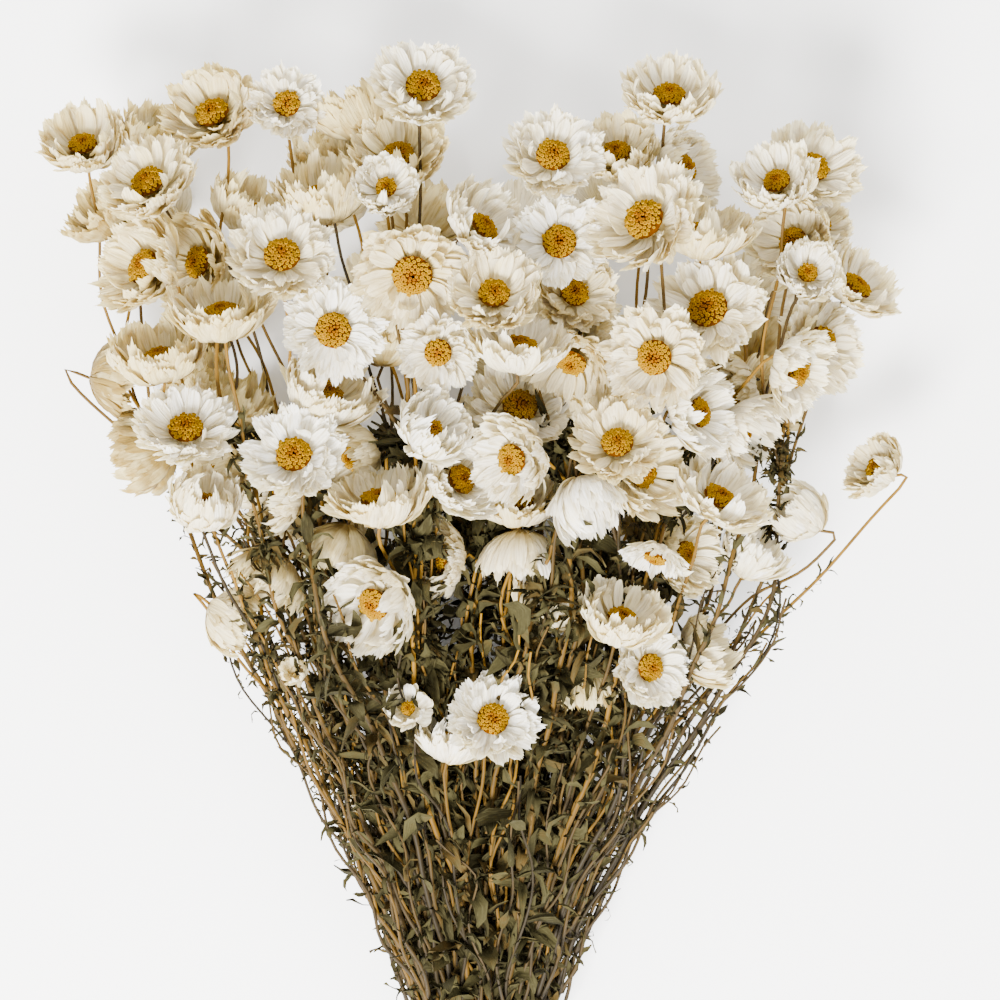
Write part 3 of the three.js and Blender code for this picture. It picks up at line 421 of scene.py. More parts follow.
def steer_stems(sprays, laid):
    """Bends stems and stalks clear of the heads of the other sprays. Their last two points stay put."""
    owner = np.array([i for i, heads in enumerate(sprays) for _ in heads])
    heads = [h for spray in sprays for h in spray]
    centres = np.array([middle_of(h) for h in heads])
    limits = np.array([h.radius * 1.1 + 3 for h in heads])
    ways = []
    for spray, parts in enumerate(laid):
        ways.append((spray, parts.stem, FIRST_FREE))
        ways += [(spray, path, 1) for _, path in parts.stalks]
    for _ in range(STEER_ROUNDS):
        for spray, path, start in ways:
            last = len(path) - 3
            for k in range(start - 1, last + 1):
                run = path[k + 1] - path[k]
                t = np.clip((centres - path[k]) @ run / (run @ run), 0, 1)
                near = np.linalg.norm(path[k] + t[:, None] * run - centres, axis=1) < limits + 6
                for n in np.nonzero(near & (owner != spray))[0]:
                    run = path[k + 1] - path[k]
                    t = min(1, max(0, float((centres[n] - path[k]) @ run / (run @ run))))
                    out = path[k] + t * run - centres[n]
                    far = float(np.linalg.norm(out))
                    if far > limits[n]:
                        continue
                    out = out / (far + 1e-6)
                    short = reach_of(heads[n], out) + STEM_RADIUS + CLEARANCE - far
                    if short <= 0:
                        continue
                    if k >= start:
                        path[k] = path[k] + out * (0.6 * short * (1 - t))
                    if k + 1 <= last:
                        path[k + 1] = path[k + 1] + out * (0.6 * short * t)
    for parts in laid:
        for head, path in parts.stalks:
            path[0] = point_at(parts.stem, fork_of(head))


# The pieces' own shapes, in millimetres like the layout.
MM = 0.001
GOLDEN_ANGLE = math.pi * (3 - math.sqrt(5))
FULL_TURN = 6.3  # a little over a circle, for random starts
PRESSED_BELOW = 4  # what lies lower than this is flattened on the surface

BRACT_ROWS = 5
BRACT_COLUMNS = 4
CUP_SWELL = 1.15  # size of the bracts against the solids': on a shut head, and on a wide open one
BLADE_REACH = 1.05
STRAYS = 0.16  # share of the bracts that bend out of their layer
SMALL_HEAD = 7  # heads of a smaller radius are buds
# Layers of bracts from the outermost in: depth, count, width and share of the full length.
LAYERS = [(0.0, 17, 1.0, 0.5), (0.07, 17, 1.0, 0.72), (0.18, 16, 1.0, 1), (0.4, 14, 0.9, 1),
          (0.8, 12, 0.75, 1)]
BUD_LAYERS = [(0.0, 7, 1.7, 0.7), (0.3, 6, 1.5, 1)]
SCALES = 10  # small scales at the base of a head

LEAST_OPEN = 0.2  # heads that are less open hide their disc
FLORET_SIDES = 5
CORE_RINGS = 4
CORE_SPOKES = 14

LEAF_ROWS = 4
LEAF_COLUMNS = 2
LEAF_TOP = 212  # leaves grow below this distance from the tie
LEAF_FREE = 30  # and this far below their head
LEAF_LENGTH = 8
STALK_LEAF_LENGTH = 7

STALK = 0.5  # radii of stalks, stems, and side shoots from root to end
STEM = 0.82
SHOOT = (0.6, 0.35)
SHOOTS = 4  # side shoots beside each stem
STEP = 4.0  # spacing of the rings along a stem

TURNS = 5  # turns of twine
PLY = 0.42  # radius of one of its two plies
PLY_OFFSET = PLY * 0.72  # from the twine's middle line
TWISTS = 24  # twists of the plies in each turn
TURN_POINTS = 120
TWINE_WIDTH = 5.6  # of all turns side by side
TWINE_START = 1.2


class Piece:
    """Points, triangles and per-point values of one piece, gathered from its many small parts."""

    def __init__(self, values):
        self.points, self.faces, self.count = [], [], 0
        self.values = {name: [] for name in values}

    def add(self, points, faces, **values):
        points = np.asarray(points, float).reshape(-1, 3)
        self.points.append(points)
        self.faces.append(np.asarray(faces) + self.count)
        for name, store in self.values.items():
            given = np.asarray(values[name], float)
            wide = () if given.ndim < 2 and given.size in (1, len(points)) else given.shape[-1:]
            store.append(np.broadcast_to(given, (len(points), *wide)))
        self.count += len(points)

    def make(self, name, material, nodes):
        """The piece as a Blender object that rides with the bunch and stands for its nodes."""
        points = np.concatenate(self.points) + SHIFT
        low = np.minimum(points[:, 2], PRESSED_BELOW)
        points[:, 2] += PRESSED_BELOW * np.exp((low - PRESSED_BELOW) / PRESSED_BELOW) - low
        points *= MM
        faces = np.concatenate(self.faces).astype(np.int32)
        mesh = bpy.data.meshes.new(name)
        mesh.vertices.add(len(points))
        mesh.vertices.foreach_set("co", points.astype(np.float32).ravel())
        mesh.loops.add(faces.size)
        mesh.loops.foreach_set("vertex_index", faces.ravel())
        mesh.polygons.add(len(faces))
        mesh.polygons.foreach_set("loop_start", np.arange(0, faces.size, 3, dtype=np.int32))
        for label, store in self.values.items():
            data = np.concatenate(store).astype(np.float32)
            kind, field = ("FLOAT", "value") if data.ndim == 1 else ("FLOAT_VECTOR", "vector")
            mesh.attributes.new(label, kind, "POINT").data.foreach_set(field, data.ravel())
        mesh.update()
        mesh.validate()
        mesh.shade_smooth()
        mesh.materials.append(material)
        piece = bpy.data.objects.new(name, mesh)
        bpy.context.scene.collection.objects.link(piece)
        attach(piece, "root")
        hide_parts(*nodes)
        return piece


def grid_faces(count, rows, columns):
    """Triangles of a number of grids, each of rows by columns cells."""
    corner = np.arange(rows)[:, None] * (columns + 1) + np.arange(columns)
    a, b = corner.ravel(), corner.ravel() + 1
    c, d = b + columns + 1, a + columns + 1
    one = np.concatenate([np.stack([a, b, c], 1), np.stack([a, c, d], 1)])
    step = (rows + 1) * (columns + 1)
    return (one[None] + (np.arange(count) * step)[:, None, None]).reshape(-1, 3)


def across_of(axis):
    """Two unit vectors square to an axis and to each other."""
    side = np.cross(axis, UP if abs(axis[2]) < 0.9 else np.array([1.0, 0.0, 0.0]))
    side /= np.linalg.norm(side)
    return side, np.cross(axis, side)


def bezier(controls, u):
    """Points and directions of cubic curves: controls n by 4 by 2, u n by rows by columns."""
    p = [controls[:, k, None, None, :] for k in range(4)]
    u = u[..., None]
    v = 1 - u
    point = v**3 * p[0] + 3 * v * v * u * p[1] + 3 * v * u * u * p[2] + u**3 * p[3]
    slope = 3 * v * v * (p[1] - p[0]) + 6 * v * u * (p[2] - p[1]) + 3 * u * u * (p[3] - p[2])
    return point, slope / (np.linalg.norm(slope, axis=-1, keepdims=True) + 1e-9)


def profile(radius, opened, inner):
    """Side views of bracts as four control points each, radius and height, from the outermost in."""
    o = np.atleast_1d(opened)[:, None, None]
    shut = [(0.08, -0.64), (0.92, -0.5), (1.14, 0.55), (0.42, 1.1)]
    wide = [(0.08, -0.36), (0.5, -0.36), (0.86, -0.16), (1.14, 0.04)]
    shut_in = [(0.2, 0.0), (0.42, 0.15), (0.56, 0.62), (0.16, 0.98)]
    wide_in = [(0.36, -0.1), (0.46, -0.08), (0.64, 0.08), (0.84, 0.2)]
    flare = np.array([[0, 0], [0, 0], [0.3, 0], [0.8, 0]])
    outer = mix(np.array(shut), np.array(wide), o) + flare * (np.sqrt(o) - o)
    inmost = mix(np.array(shut_in), np.array(wide_in), o) + flare * (np.sqrt(o) - o)
    return radius * mix(CUP_SWELL, BLADE_REACH, np.minimum(o, 1)) * mix(outer, inmost, inner)


def first_part(controls, share):
    """The side views cut off at a share of their length."""
    once = mix(controls[:, :3], controls[:, 1:], share)
    twice = mix(once[:, :2], once[:, 1:], share)
    end = mix(twice[:, :1], twice[:, 1:], share)
    return np.concatenate([controls[:, :1], once[:, :1], twice[:, :1], end], axis=1)


def add_blades(piece, head, rng, turns, controls, width, tone, rows, columns):
    """A ring of papery blades with toothed tips, which follow their side views round a head's axis."""
    side, other = across_of(head.axis)
    count = len(turns)
    one = (count, 1, 1)
    crumple = 0.02 + 0.05 * head.cream
    taper = mix(0.25, 0.42, min(1, head.open))
    cells = (rows + 1) * (columns + 1)
    shape = controls * rng.normal(1, 0.035, one)
    shape[:, 3] += head.radius * rng.normal(0, 0.06, (count, 2))
    shape[:, 2, 1] += head.radius * rng.normal(0, 0.03, count)
    stray = (rng.random(count) < STRAYS)[:, None] * rng.normal(1, 0.4, (count, 1)) * head.radius
    shape[:, 3] += stray * (-0.3, 0.17)
    shape[:, 2] += stray * (-0.06, 0.1)
    wide = 0.5 * width * rng.normal(1, 0.12, one)
    lean, twist = rng.normal(0.13, 0.09, one), rng.normal(0, 0.25, one)
    sway = head.radius * rng.normal(0, 0.06, one)
    bowl = rng.normal(0.13, 0.14, one)
    wave, phase = rng.uniform(3, 8, one), rng.uniform(0, FULL_TURN, one)
    out = (np.cos(turns)[:, None] * side + np.sin(turns)[:, None] * other)[:, None, None]
    tangent = np.cross(head.axis, out)

    def surface(reach, v, rise):
        """Points at shares of the blade's length and of its half width, raised by so much."""
        half = wide * (0.35 + 0.65 * smooth(reach / 0.55)) * (1 - taper * smooth((reach - 0.5) / 0.55))
        across = v * half + sway * reach**2
        point, slope = bezier(shape, reach)
        rise = rise * smooth(reach / 0.4) + bowl * half * v**2 + lean * v * half
        rise = rise + across * np.sin(twist * reach)
        rise = rise + head.radius * crumple * np.sin(reach * wave + phase) * reach
        radial = point[..., 0] - rise * slope[..., 1]
        height = point[..., 1] + rise * slope[..., 0]
        points = head.at + radial[..., None] * out + height[..., None] * head.axis
        points = points + across[..., None] * tangent
        return points, np.stack([across, reach * run, 0 * reach + serial], -1)

    run = float(np.linalg.norm(np.diff(controls[0], axis=0), axis=1).sum())
    serial = rng.random(one) * 50
    u = np.linspace(0, 1, rows + 1)[None, :, None]
    v = np.linspace(-1, 1, columns + 1)[None, None, :]
    rim = 0.94 - 0.14 * v**2 - 0.07 * rng.random((count, 1, columns + 1))
    pleat = 0.16 * np.cos(math.pi * columns / 2 * (v + 1))
    pleat = pleat + rng.normal(0, 0.06, (count, rows + 1, columns + 1))
    points, lay = surface(u * rim, v, pleat)
    gap = 0.5 * (v[..., 1:] + v[..., :-1])
    teeth = 0.5 * (rim[..., 1:] + rim[..., :-1]) + rng.uniform(0.01, 0.12, (count, 1, columns))
    tips, tip_lay = surface(teeth, gap, rng.normal(0, 0.15, (count, 1, columns)))
    blade = np.arange(count)[:, None]
    last = blade * cells + rows * (columns + 1) + np.arange(columns)
    apex = count * cells + blade * columns + np.arange(columns)
    teeth_faces = np.stack([last, last + 1, apex], -1).reshape(-1, 3)
    faces = np.concatenate([grid_faces(count, rows, columns), teeth_faces])
    shade = tone + rng.normal(0, 0.06, one)
    shades = [np.broadcast_to(shade, part.shape[:3]).ravel() for part in (lay, tip_lay)]
    along = [np.broadcast_to(u, lay.shape[:3]).ravel(), np.ones(count * columns)]
    piece.add(np.concatenate([points.reshape(-1, 3), tips.reshape(-1, 3)]), faces,
              tone=np.concatenate(shades), along=np.concatenate(along),
              lay=np.concatenate([lay.reshape(-1, 3), tip_lay.reshape(-1, 3)]))


def add_bracts(piece, head):
    """All the bracts of one head: papery layers from the outermost in, and small scales at the base."""
    rng = np.random.default_rng(100 + head.serial)
    slimness = mix(0.5, 0.38, min(1, head.open))
    lopsided = rng.uniform(0.03, 0.16)
    droop = rng.uniform(0, 2 * math.pi)
    for depth, count, wide, share in BUD_LAYERS if head.radius < SMALL_HEAD else LAYERS:
        turns = rng.random() * FULL_TURN + 2 * math.pi * np.arange(count) / count + rng.normal(0, 0.09, count)
        opened = head.open + lopsided * np.cos(turns - droop) + rng.normal(0, 0.05, count)
        controls = profile(head.radius, np.clip(opened, 0.02, 1.1), depth)
        share = mix(share, 1, smooth(head.open / 0.9))
        controls = first_part(controls, share)
        controls[:, 3, 0] += head.radius * 0.12 * (1 - share)
        # The outermost layer is tanner; the creaminess also carries painted shade on the deeper front heads.
        tone = head.cream + (0.1 if depth == 0 else 0)
        width = wide * head.radius * slimness
        add_blades(piece, head, rng, turns, controls, width, tone, BRACT_ROWS, BRACT_COLUMNS)
    turns = rng.random() * FULL_TURN + 2 * math.pi * np.arange(SCALES) / SCALES
    scales = profile(head.radius, np.full(SCALES, head.open), 0.0)
    scales[:, 0] *= (0.5, 1.03)
    scales[:, 1:] = scales[:, :1] + (scales[:, 1:] - scales[:, :1]) * 0.4
    scales[:, 1:, 1] -= head.radius * 0.04
    add_blades(piece, head, rng, turns, scales, head.radius * 0.3, min(1.3, head.cream + 0.45), 3, 2)


def add_disc(piece, head):
    """The domed disc of one head: a core and florets in a spiral, open round the rim, shut in the middle."""
    if head.open < LEAST_OPEN:
        return
    rng = np.random.default_rng(500 + head.serial)
    side, other = across_of(head.axis)
    radius = head.radius * mix(0.27, 0.385, head.open)
    base = head.radius * mix(0.18, -0.02, head.open)
    dome = radius * 0.36
    count = (72 if head.radius > 10 else 44) if head.front else 40
    k = np.arange(count)
    far = np.sqrt((k + 0.5) / count)
    turn = k * GOLDEN_ANGLE + rng.random() * FULL_TURN
    out = np.cos(turn)[:, None] * side + np.sin(turn)[:, None] * other
    tangent = np.cross(head.axis, out)
    up = head.axis + out * (0.5 * far**1.5)[:, None] + rng.normal(0, 0.12, (count, 3))
    up /= np.linalg.norm(up, axis=1, keepdims=True)
    root = head.at + out * (far * radius * 0.94)[:, None]
    root = root + head.axis * (base + dome * (1 - far**2))[:, None]
    fat = radius / math.sqrt(count) * rng.normal(1.0, 0.1, count)
    fat = fat * mix(0.78, 0.98, smooth((far - 0.25) / 0.3))
    tall = fat * mix(1.0, 1.5, smooth((far - 0.3) / 0.4)) * rng.normal(1, 0.2, count)
    sides = FLORET_SIDES
    a = 2 * math.pi * np.arange(sides) / sides
    right = tangent - up * (tangent * up).sum(1, keepdims=True)
    right /= np.linalg.norm(right, axis=1, keepdims=True)
    front = np.cross(up, right)
    ring = np.cos(a)[None, :, None] * right[:, None] + np.sin(a)[None, :, None] * front[:, None]
    lobes = rng.normal(1, 0.1, (count, sides, 1))
    wide, high = fat[:, None, None], tall[:, None, None]
    centre = root[:, None]
    axis = up[:, None]
    rings = [centre + ring * wide * 0.68 - axis * high * 0.3,
             centre + ring * wide * lobes * 0.98 + axis * high,
             centre + ring * wide * 0.4 + axis * high * 0.76]
    points = np.stack(rings, 1).reshape(-1, 3)
    one = []
    for level in range(2):
        for s in range(sides):
            p, q = level * sides + s, level * sides + (s + 1) % sides
            one += [(p, q, q + sides), (p, q + sides, p + sides)]
    last = 2 * sides
    one += [(last, last + s, last + s + 1) for s in range(1, sides - 1)]
    faces = (np.array(one)[None] + (k * 3 * sides)[:, None, None]).reshape(-1, 3)
    age = np.repeat(np.clip(far + rng.normal(0, 0.05, count), 0, 1), 3 * sides)
    # Painted-shade mask: 0 at a floret's foot, 1 at its lobes and 0.25 at its mouth; the disc material
    # darkens by it for the crevices between florets.
    top = np.tile(np.repeat([0, 1, 0.25], sides), count)
    piece.add(points, faces, age=age, top=top, chance=np.repeat(rng.random(count), 3 * sides))
    t = np.linspace(0, 1, CORE_RINGS + 1)[:, None]
    b = (2 * math.pi * np.arange(CORE_SPOKES + 1) / CORE_SPOKES)[None]
    flat = (np.cos(b)[..., None] * side + np.sin(b)[..., None] * other) * (t * radius * 1.04)[..., None]
    core = head.at + flat + head.axis * (base - 0.25 + dome * (1 - t**2))[..., None]
    # The core below the florets gets mask 0, so it is painted in full crevice shade.
    piece.add(core, grid_faces(1, CORE_RINGS, CORE_SPOKES), age=np.repeat(t.ravel(), CORE_SPOKES + 1),
              top=0, chance=0.5)


def smooth_path(points, step):
    """A smooth run through points, resampled at about an even step."""
    p = np.array(points)
    p = np.concatenate([[2 * p[0] - p[1]], p, [2 * p[-1] - p[-2]]])
    found = []
    for k in range(1, len(p) - 2):
        chord = np.linalg.norm(p[k + 1] - p[k])
        t = np.linspace(0, 1, max(3, int(chord / step) * 2), endpoint=False)[:, None]
        found.append(0.5 * (2 * p[k] + (p[k + 1] - p[k - 1]) * t
                            + (2 * p[k - 1] - 5 * p[k] + 4 * p[k + 1] - p[k + 2]) * t**2
                            + (3 * p[k] - p[k - 1] - 3 * p[k + 1] + p[k + 2]) * t**3))
    run = np.concatenate([*found, p[-2][None]])
    gone = np.concatenate([[0], np.cumsum(np.linalg.norm(np.diff(run, axis=0), axis=1))])
    at = np.linspace(0, gone[-1], max(3, int(gone[-1] / step) + 1))
    return np.stack([np.interp(at, gone, run[:, c]) for c in range(3)], 1)


def frames_along(path):
    """Unit directions along a path, and a pair square to each that doesn't twist."""
    along = np.gradient(path, axis=0)
    along /= np.linalg.norm(along, axis=1, keepdims=True)
    side = across_of(along[0])[0]
    sides = []
    for way in along:
        side = side - way * (side @ way)
        side = side / np.linalg.norm(side)
        sides.append(side)
    sides = np.array(sides)
    return along, sides, np.cross(along, sides)


def add_tube(piece, path, radii, sides, **values):
    """A round tube along a path, open at its ends."""
    _, right, front = frames_along(path)
    a = 2 * math.pi * np.arange(sides + 1) / sides
    ring = np.cos(a)[None, :, None] * right[:, None] + np.sin(a)[None, :, None] * front[:, None]
    radii = np.asarray(radii, float)
    points = path[:, None] + ring * radii[:, None, None]
    piece.add(points, grid_faces(1, len(path) - 1, sides), **values)


def add_leaves(piece, path, rng, first, last, gap, length):
    """Small clasping leaves up a stem: dry, curled and crumpled."""
    along, right, front = frames_along(path)
    heights = path[:, 1]
    places, turn = [], rng.random() * FULL_TURN
    y = first + rng.random() * gap
    while y < last:
        n = int(np.searchsorted(heights, y))
        if n >= len(path) - 1:
            break
        places.append((n, turn))
        turn += 2.4 + rng.normal(0, 0.4)
        y += gap * (0.6 + 0.8 * rng.random()) * mix(1.2, 0.42, smooth((y - 60) / 80))
    if not places:
        return
    count = len(places)
    n, turn = map(np.array, zip(*places))
    out = np.cos(turn)[:, None] * right[n] + np.sin(turn)[:, None] * front[n]
    tangent = np.cross(along[n], out)
    u = np.linspace(0, 1, LEAF_ROWS + 1)[None, :, None]
    v = np.linspace(-1, 1, LEAF_COLUMNS + 1)[None, None, :]
    one = (count, 1, 1)
    run = length * np.clip(rng.normal(1, 0.3, one), 0.4, 1.7)
    run = run * mix(1.1, 0.9, smooth((heights[n] - 60) / 90))[:, None, None]
    edge = np.abs(path[n, 0]) / np.array([half_width(y) for y in heights[n]])
    run = run * mix(1.25, 0.6, smooth((edge - 0.35) / 0.5))[:, None, None]
    narrowing = 1 - smooth((u - 0.5) / 0.5) ** 1.3 * 0.93
    half = run * rng.normal(0.17, 0.04, one) * (0.5 + 0.5 * smooth(u / 0.35)) * narrowing
    lean0 = np.clip(rng.normal(0.7, 0.35, one), 0.1, 1.6)
    bend = rng.normal(0.8, 1.5, one)
    lean = lean0 + bend * u + rng.normal(0, 0.5, one) * np.sin(u * rng.uniform(4, 8, one))
    step = run / LEAF_ROWS
    far_out = np.cumsum(np.sin(lean), axis=1) * step - np.sin(lean0) * step
    far_up = np.cumsum(np.cos(lean), axis=1) * step - np.cos(lean0) * step
    roll = np.clip(rng.normal(1.5, 0.9, one), 0.2, 2.8) * v
    across = half * np.sin(roll) / np.maximum(0.35, np.abs(roll)) * np.abs(v) * 1.1
    lift = half * (1 - np.cos(roll)) / np.maximum(0.35, np.abs(roll)) * np.abs(v)
    lift = lift + rng.normal(0, 0.28, (count, LEAF_ROWS + 1, LEAF_COLUMNS + 1)) * smooth(u / 0.2)
    twist = rng.normal(0, 1.3, one) * u
    c, s = np.cos(twist), np.sin(twist)
    across, lift = across * c - lift * s, lift * c + across * s
    rim_out, rim_up = np.cos(lean), -np.sin(lean)
    o, t, w = out[:, None, None], tangent[:, None, None], along[n][:, None, None]
    points = (path[n][:, None, None] + o * (0.7 + far_out - lift * rim_out)[..., None]
              + w * (far_up - lift * rim_up)[..., None] + t * across[..., None])
    shape = points.shape[:3]
    lay = np.stack([np.broadcast_to(half * v, shape), np.broadcast_to(u * run, shape),
                    np.broadcast_to(rng.random(one) * 50, shape)], -1)
    piece.add(points, grid_faces(count, LEAF_ROWS, LEAF_COLUMNS), lay=lay.reshape(-1, 3),
              along=np.broadcast_to(u, shape).ravel(), chance=np.broadcast_to(rng.random(one), shape).ravel())


# Materials: node trees built from small helpers.
def material(name):
    made = bpy.data.materials.new(name)
    made.use_nodes = True
    tree = made.node_tree
    return made, tree, tree.nodes["Principled BSDF"]


def plug(tree, socket, value):
    """Gives an input a value, or another node's output."""
    if isinstance(value, bpy.types.NodeSocket):
        tree.links.new(value, socket)
    else:
        socket.default_value = value


def node(tree, kind, settings=None, **inputs):
    """A node with its settings and its inputs: numbers, colours, or another node's output."""
    made = tree.nodes.new(kind)
    for key, value in (settings or {}).items():
        setattr(made, key, value)
    for key, value in inputs.items():
        place = int(key[1:]) if key[0] == "i" and key[1:].isdigit() else key
        plug(tree, made.inputs[place], value)
    return made


def value_of(tree, name, output="Fac"):
    return node(tree, "ShaderNodeAttribute", {"attribute_name": name}).outputs[output]


def blend(tree, factor, a, b, kind="MIX"):
    """Mix of two colours, each a colour or another node's output."""
    made = node(tree, "ShaderNodeMix", {"data_type": "RGBA", "blend_type": kind, "clamp_factor": True})
    for place, value in ((0, factor), (6, a), (7, b)):
        plug(tree, made.inputs[place], (*value, 1) if isinstance(value, tuple) else value)
    return made.outputs[2]


def maths(tree, operation, a, b=0.0, clamp=False):
    made = node(tree, "ShaderNodeMath", {"operation": operation, "use_clamp": clamp})
    plug(tree, made.inputs[0], a)
    plug(tree, made.inputs[1], b)
    return made.outputs[0]


def swing(tree, value, gain):
    """How far a value lies from one half, times a gain."""
    return maths(tree, "MULTIPLY", maths(tree, "SUBTRACT", value, 0.5), gain)


def ramp(tree, factor, stops):
    made = node(tree, "ShaderNodeValToRGB")
    tree.links.new(factor, made.inputs[0])
    ends = made.color_ramp.elements
    while len(ends) < len(stops):
        ends.new(0.5)
    for end, (place, color) in zip(ends, stops):
        end.position = place
        end.color = (*color, 1)
    return made.outputs[0]


def noise(tree, vector, scale, detail=3.0, rough=0.55, stretch=None):
    if stretch:
        scaled = node(tree, "ShaderNodeVectorMath", {"operation": "MULTIPLY"}, i0=vector, i1=stretch)
        vector = scaled.outputs[0]
    made = node(tree, "ShaderNodeTexNoise", None, Scale=scale, Detail=detail, Roughness=rough)
    tree.links.new(vector, made.inputs["Vector"])
    return made.outputs["Fac"]


def bump(tree, shader, height, strength, distance):
    made = node(tree, "ShaderNodeBump", None, Strength=strength, Distance=distance, Height=height)
    tree.links.new(made.outputs[0], shader.inputs["Normal"])


def coat(tree, shader, color, rough, specular=0.5):
    """Sets a shader's colour, a node's output, and how rough and shiny it is."""
    tree.links.new(color, shader.inputs["Base Color"])
    shader.inputs["Roughness"].default_value = rough
    shader.inputs["Specular IOR Level"].default_value = specular


def bract_material():
    made, tree, shader = material("dry_bracts")
    lay, along = value_of(tree, "lay", "Vector"), value_of(tree, "along")
    streak = noise(tree, lay, 1.0, 4, 0.6, (1.5, 0.1, 1.0))
    patch = noise(tree, lay, 0.2, 2, 0.5)
    tone = maths(tree, "ADD", value_of(tree, "tone"), swing(tree, patch, 0.45))
    # Darker and yellower towards each bract's root: the outer bracts' own tan base, strengthened as painted
    # shade deep in the cup.
    root = maths(tree, "POWER", maths(tree, "SUBTRACT", 1.0, along, True), 3.0)
    root = maths(tree, "MULTIPLY", root, 0.5)
    tone = maths(tree, "ADD", tone, root)
    tone = maths(tree, "ADD", tone, swing(tree, streak, 0.25))
    color = ramp(tree, tone, [(0.0, (0.96, 0.96, 0.945)), (0.3, (0.92, 0.87, 0.69)),
                              (0.75, (0.81, 0.7, 0.37)), (1.0, (0.37, 0.25, 0.06))])
    dark = maths(tree, "MULTIPLY", maths(tree, "SUBTRACT", 0.54, streak, True), 4.5, True)
    color = blend(tree, dark, color, (0.66, 0.59, 0.42), "MULTIPLY")
    coat(tree, shader, color, 0.6, 0.25)
    shader.inputs["Sheen Weight"].default_value = 0.1
    shader.inputs["Sheen Roughness"].default_value = 0.4
    bump(tree, shader, streak, 1.0, 0.0007)
    warm = blend(tree, 1.0, color, (0.97, 0.89, 0.6), "MULTIPLY")
    paper = node(tree, "ShaderNodeBsdfTranslucent", None, Color=warm)
    both = node(tree, "ShaderNodeMixShader", None, i0=0.4, i1=shader.outputs[0], i2=paper.outputs[0])
    tree.links.new(both.outputs[0], tree.nodes["Material Output"].inputs["Surface"])
    return made


def disc_material():
    made, tree, shader = material("disc_florets")
    age, chance, top = value_of(tree, "age"), value_of(tree, "chance"), value_of(tree, "top")
    place = maths(tree, "ADD", age, swing(tree, chance, 0.22))
    color = ramp(tree, place, [(0.0, (0.16, 0.06, 0.004)), (0.2, (0.24, 0.085, 0.0)),
                               (0.42, (0.31, 0.15, 0.0)), (1.0, (0.34, 0.19, 0.0))])
    # Painted shade: florets darken towards their feet and mouths, and the core fully, standing for the
    # crevices between florets.
    shade = maths(tree, "ADD", maths(tree, "MULTIPLY", top, 0.95), 0.05, True)
    color = blend(tree, maths(tree, "SUBTRACT", 1.0, shade, True), color, (0.16, 0.06, 0.0), "MULTIPLY")
    coat(tree, shader, color, 0.8, 0.0)
    texture = node(tree, "ShaderNodeTexCoord").outputs["Object"]
    bump(tree, shader, noise(tree, texture, 4000.0), 0.4, 0.0001)
    return made


def stem_material():
    made, tree, shader = material("dry_stems")
    texture = node(tree, "ShaderNodeTexCoord").outputs["Object"]
    grain = noise(tree, texture, 45.0, 4, 0.6, (9.0, 1.0, 9.0))
    # Darker where the height value is low: partly the stems' own colour, partly painted shade deep in the
    # bunch.
    place = maths(tree, "ADD", value_of(tree, "height"), swing(tree, grain, 0.8))
    color = ramp(tree, place, [(0.0, (0.014, 0.009, 0.002)), (0.35, (0.042, 0.023, 0.002)),
                               (0.7, (0.09, 0.045, 0.002)), (1.0, (0.18, 0.09, 0.003))])
    coat(tree, shader, color, 0.65, 0.2)
    bump(tree, shader, grain, 0.5, 0.0003)
    return made


def leaf_material():
    made, tree, shader = material("dry_leaves")
    lay = value_of(tree, "lay", "Vector")
    patch = noise(tree, lay, 0.35, 4, 0.6)
    vein = noise(tree, lay, 1.0, 3, 0.55, (2.4, 0.3, 1.0))
    place = maths(tree, "ADD", maths(tree, "MULTIPLY", value_of(tree, "chance"), 0.6),
                  maths(tree, "MULTIPLY", patch, 0.5))
    color = ramp(tree, place, [(0.1, (0.008, 0.0065, 0.0015)), (0.35, (0.017, 0.0135, 0.003)),
                               (0.65, (0.036, 0.031, 0.01)), (0.95, (0.055, 0.029, 0.004))])
    veined = maths(tree, "MULTIPLY", maths(tree, "SUBTRACT", vein, 0.5, True), 1.6)
    color = blend(tree, veined, color, (0.07, 0.064, 0.027))
    coat(tree, shader, color, 0.8, 0.12)
    bump(tree, shader, vein, 0.7, 0.0004)
    return made


def twine_material():
    made, tree, shader = material("twine")
    texture = node(tree, "ShaderNodeTexCoord").outputs["Object"]
    fibre = noise(tree, texture, 900.0, 4, 0.6)
    color = ramp(tree, fibre, [(0.25, (0.06, 0.036, 0.013)), (0.6, (0.15, 0.1, 0.045)),
                               (1.0, (0.25, 0.18, 0.09))])
    coat(tree, shader, color, 0.9)
    bump(tree, shader, fibre, 0.8, 0.0003)
    return made


def floor_material():
    made, _, shader = material("pale_floor")
    shader.inputs["Base Color"].default_value = (0.95, 0.95, 0.95, 1)
    shader.inputs["Roughness"].default_value = 0.9
    return made


# The bunch.
tie_low, tie_high = (np.array(corner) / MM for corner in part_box("tie"))
SHIFT = (tie_low + tie_high) / 2
SHIFT[2] = 0

sprays = lay_sprays()
ease_apart([h for heads in sprays for h in heads])
laid = [lay_stems(heads, run) for heads, run in zip(sprays, stem_runs(sprays))]
steer_stems(sprays, laid)

# Each head belongs to the node whose solid comes nearest to its disc.
tree_points = [(v.co, name) for name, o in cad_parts.items() if name != "tie" for v in o.data.vertices]
nearest = KDTree(len(tree_points))
for n, (place, _) in enumerate(tree_points):
    nearest.insert(place, n)
nearest.balance()


def node_of(heads):
    """The node that holds most of these heads, by the crests of their discs."""
    votes = []
    for head in heads:
        crest = head.at + head.axis * head.radius * mix(0.4, 0.13, head.open)
        votes.append(tree_points[nearest.find(Vector((crest + SHIFT) * MM))[1]][1])
    return max(sorted(set(votes)), key=votes.count)


groups = {}
for spray, parts in enumerate(laid):
    groups.setdefault(node_of(sprays[spray]), []).append((spray, parts))

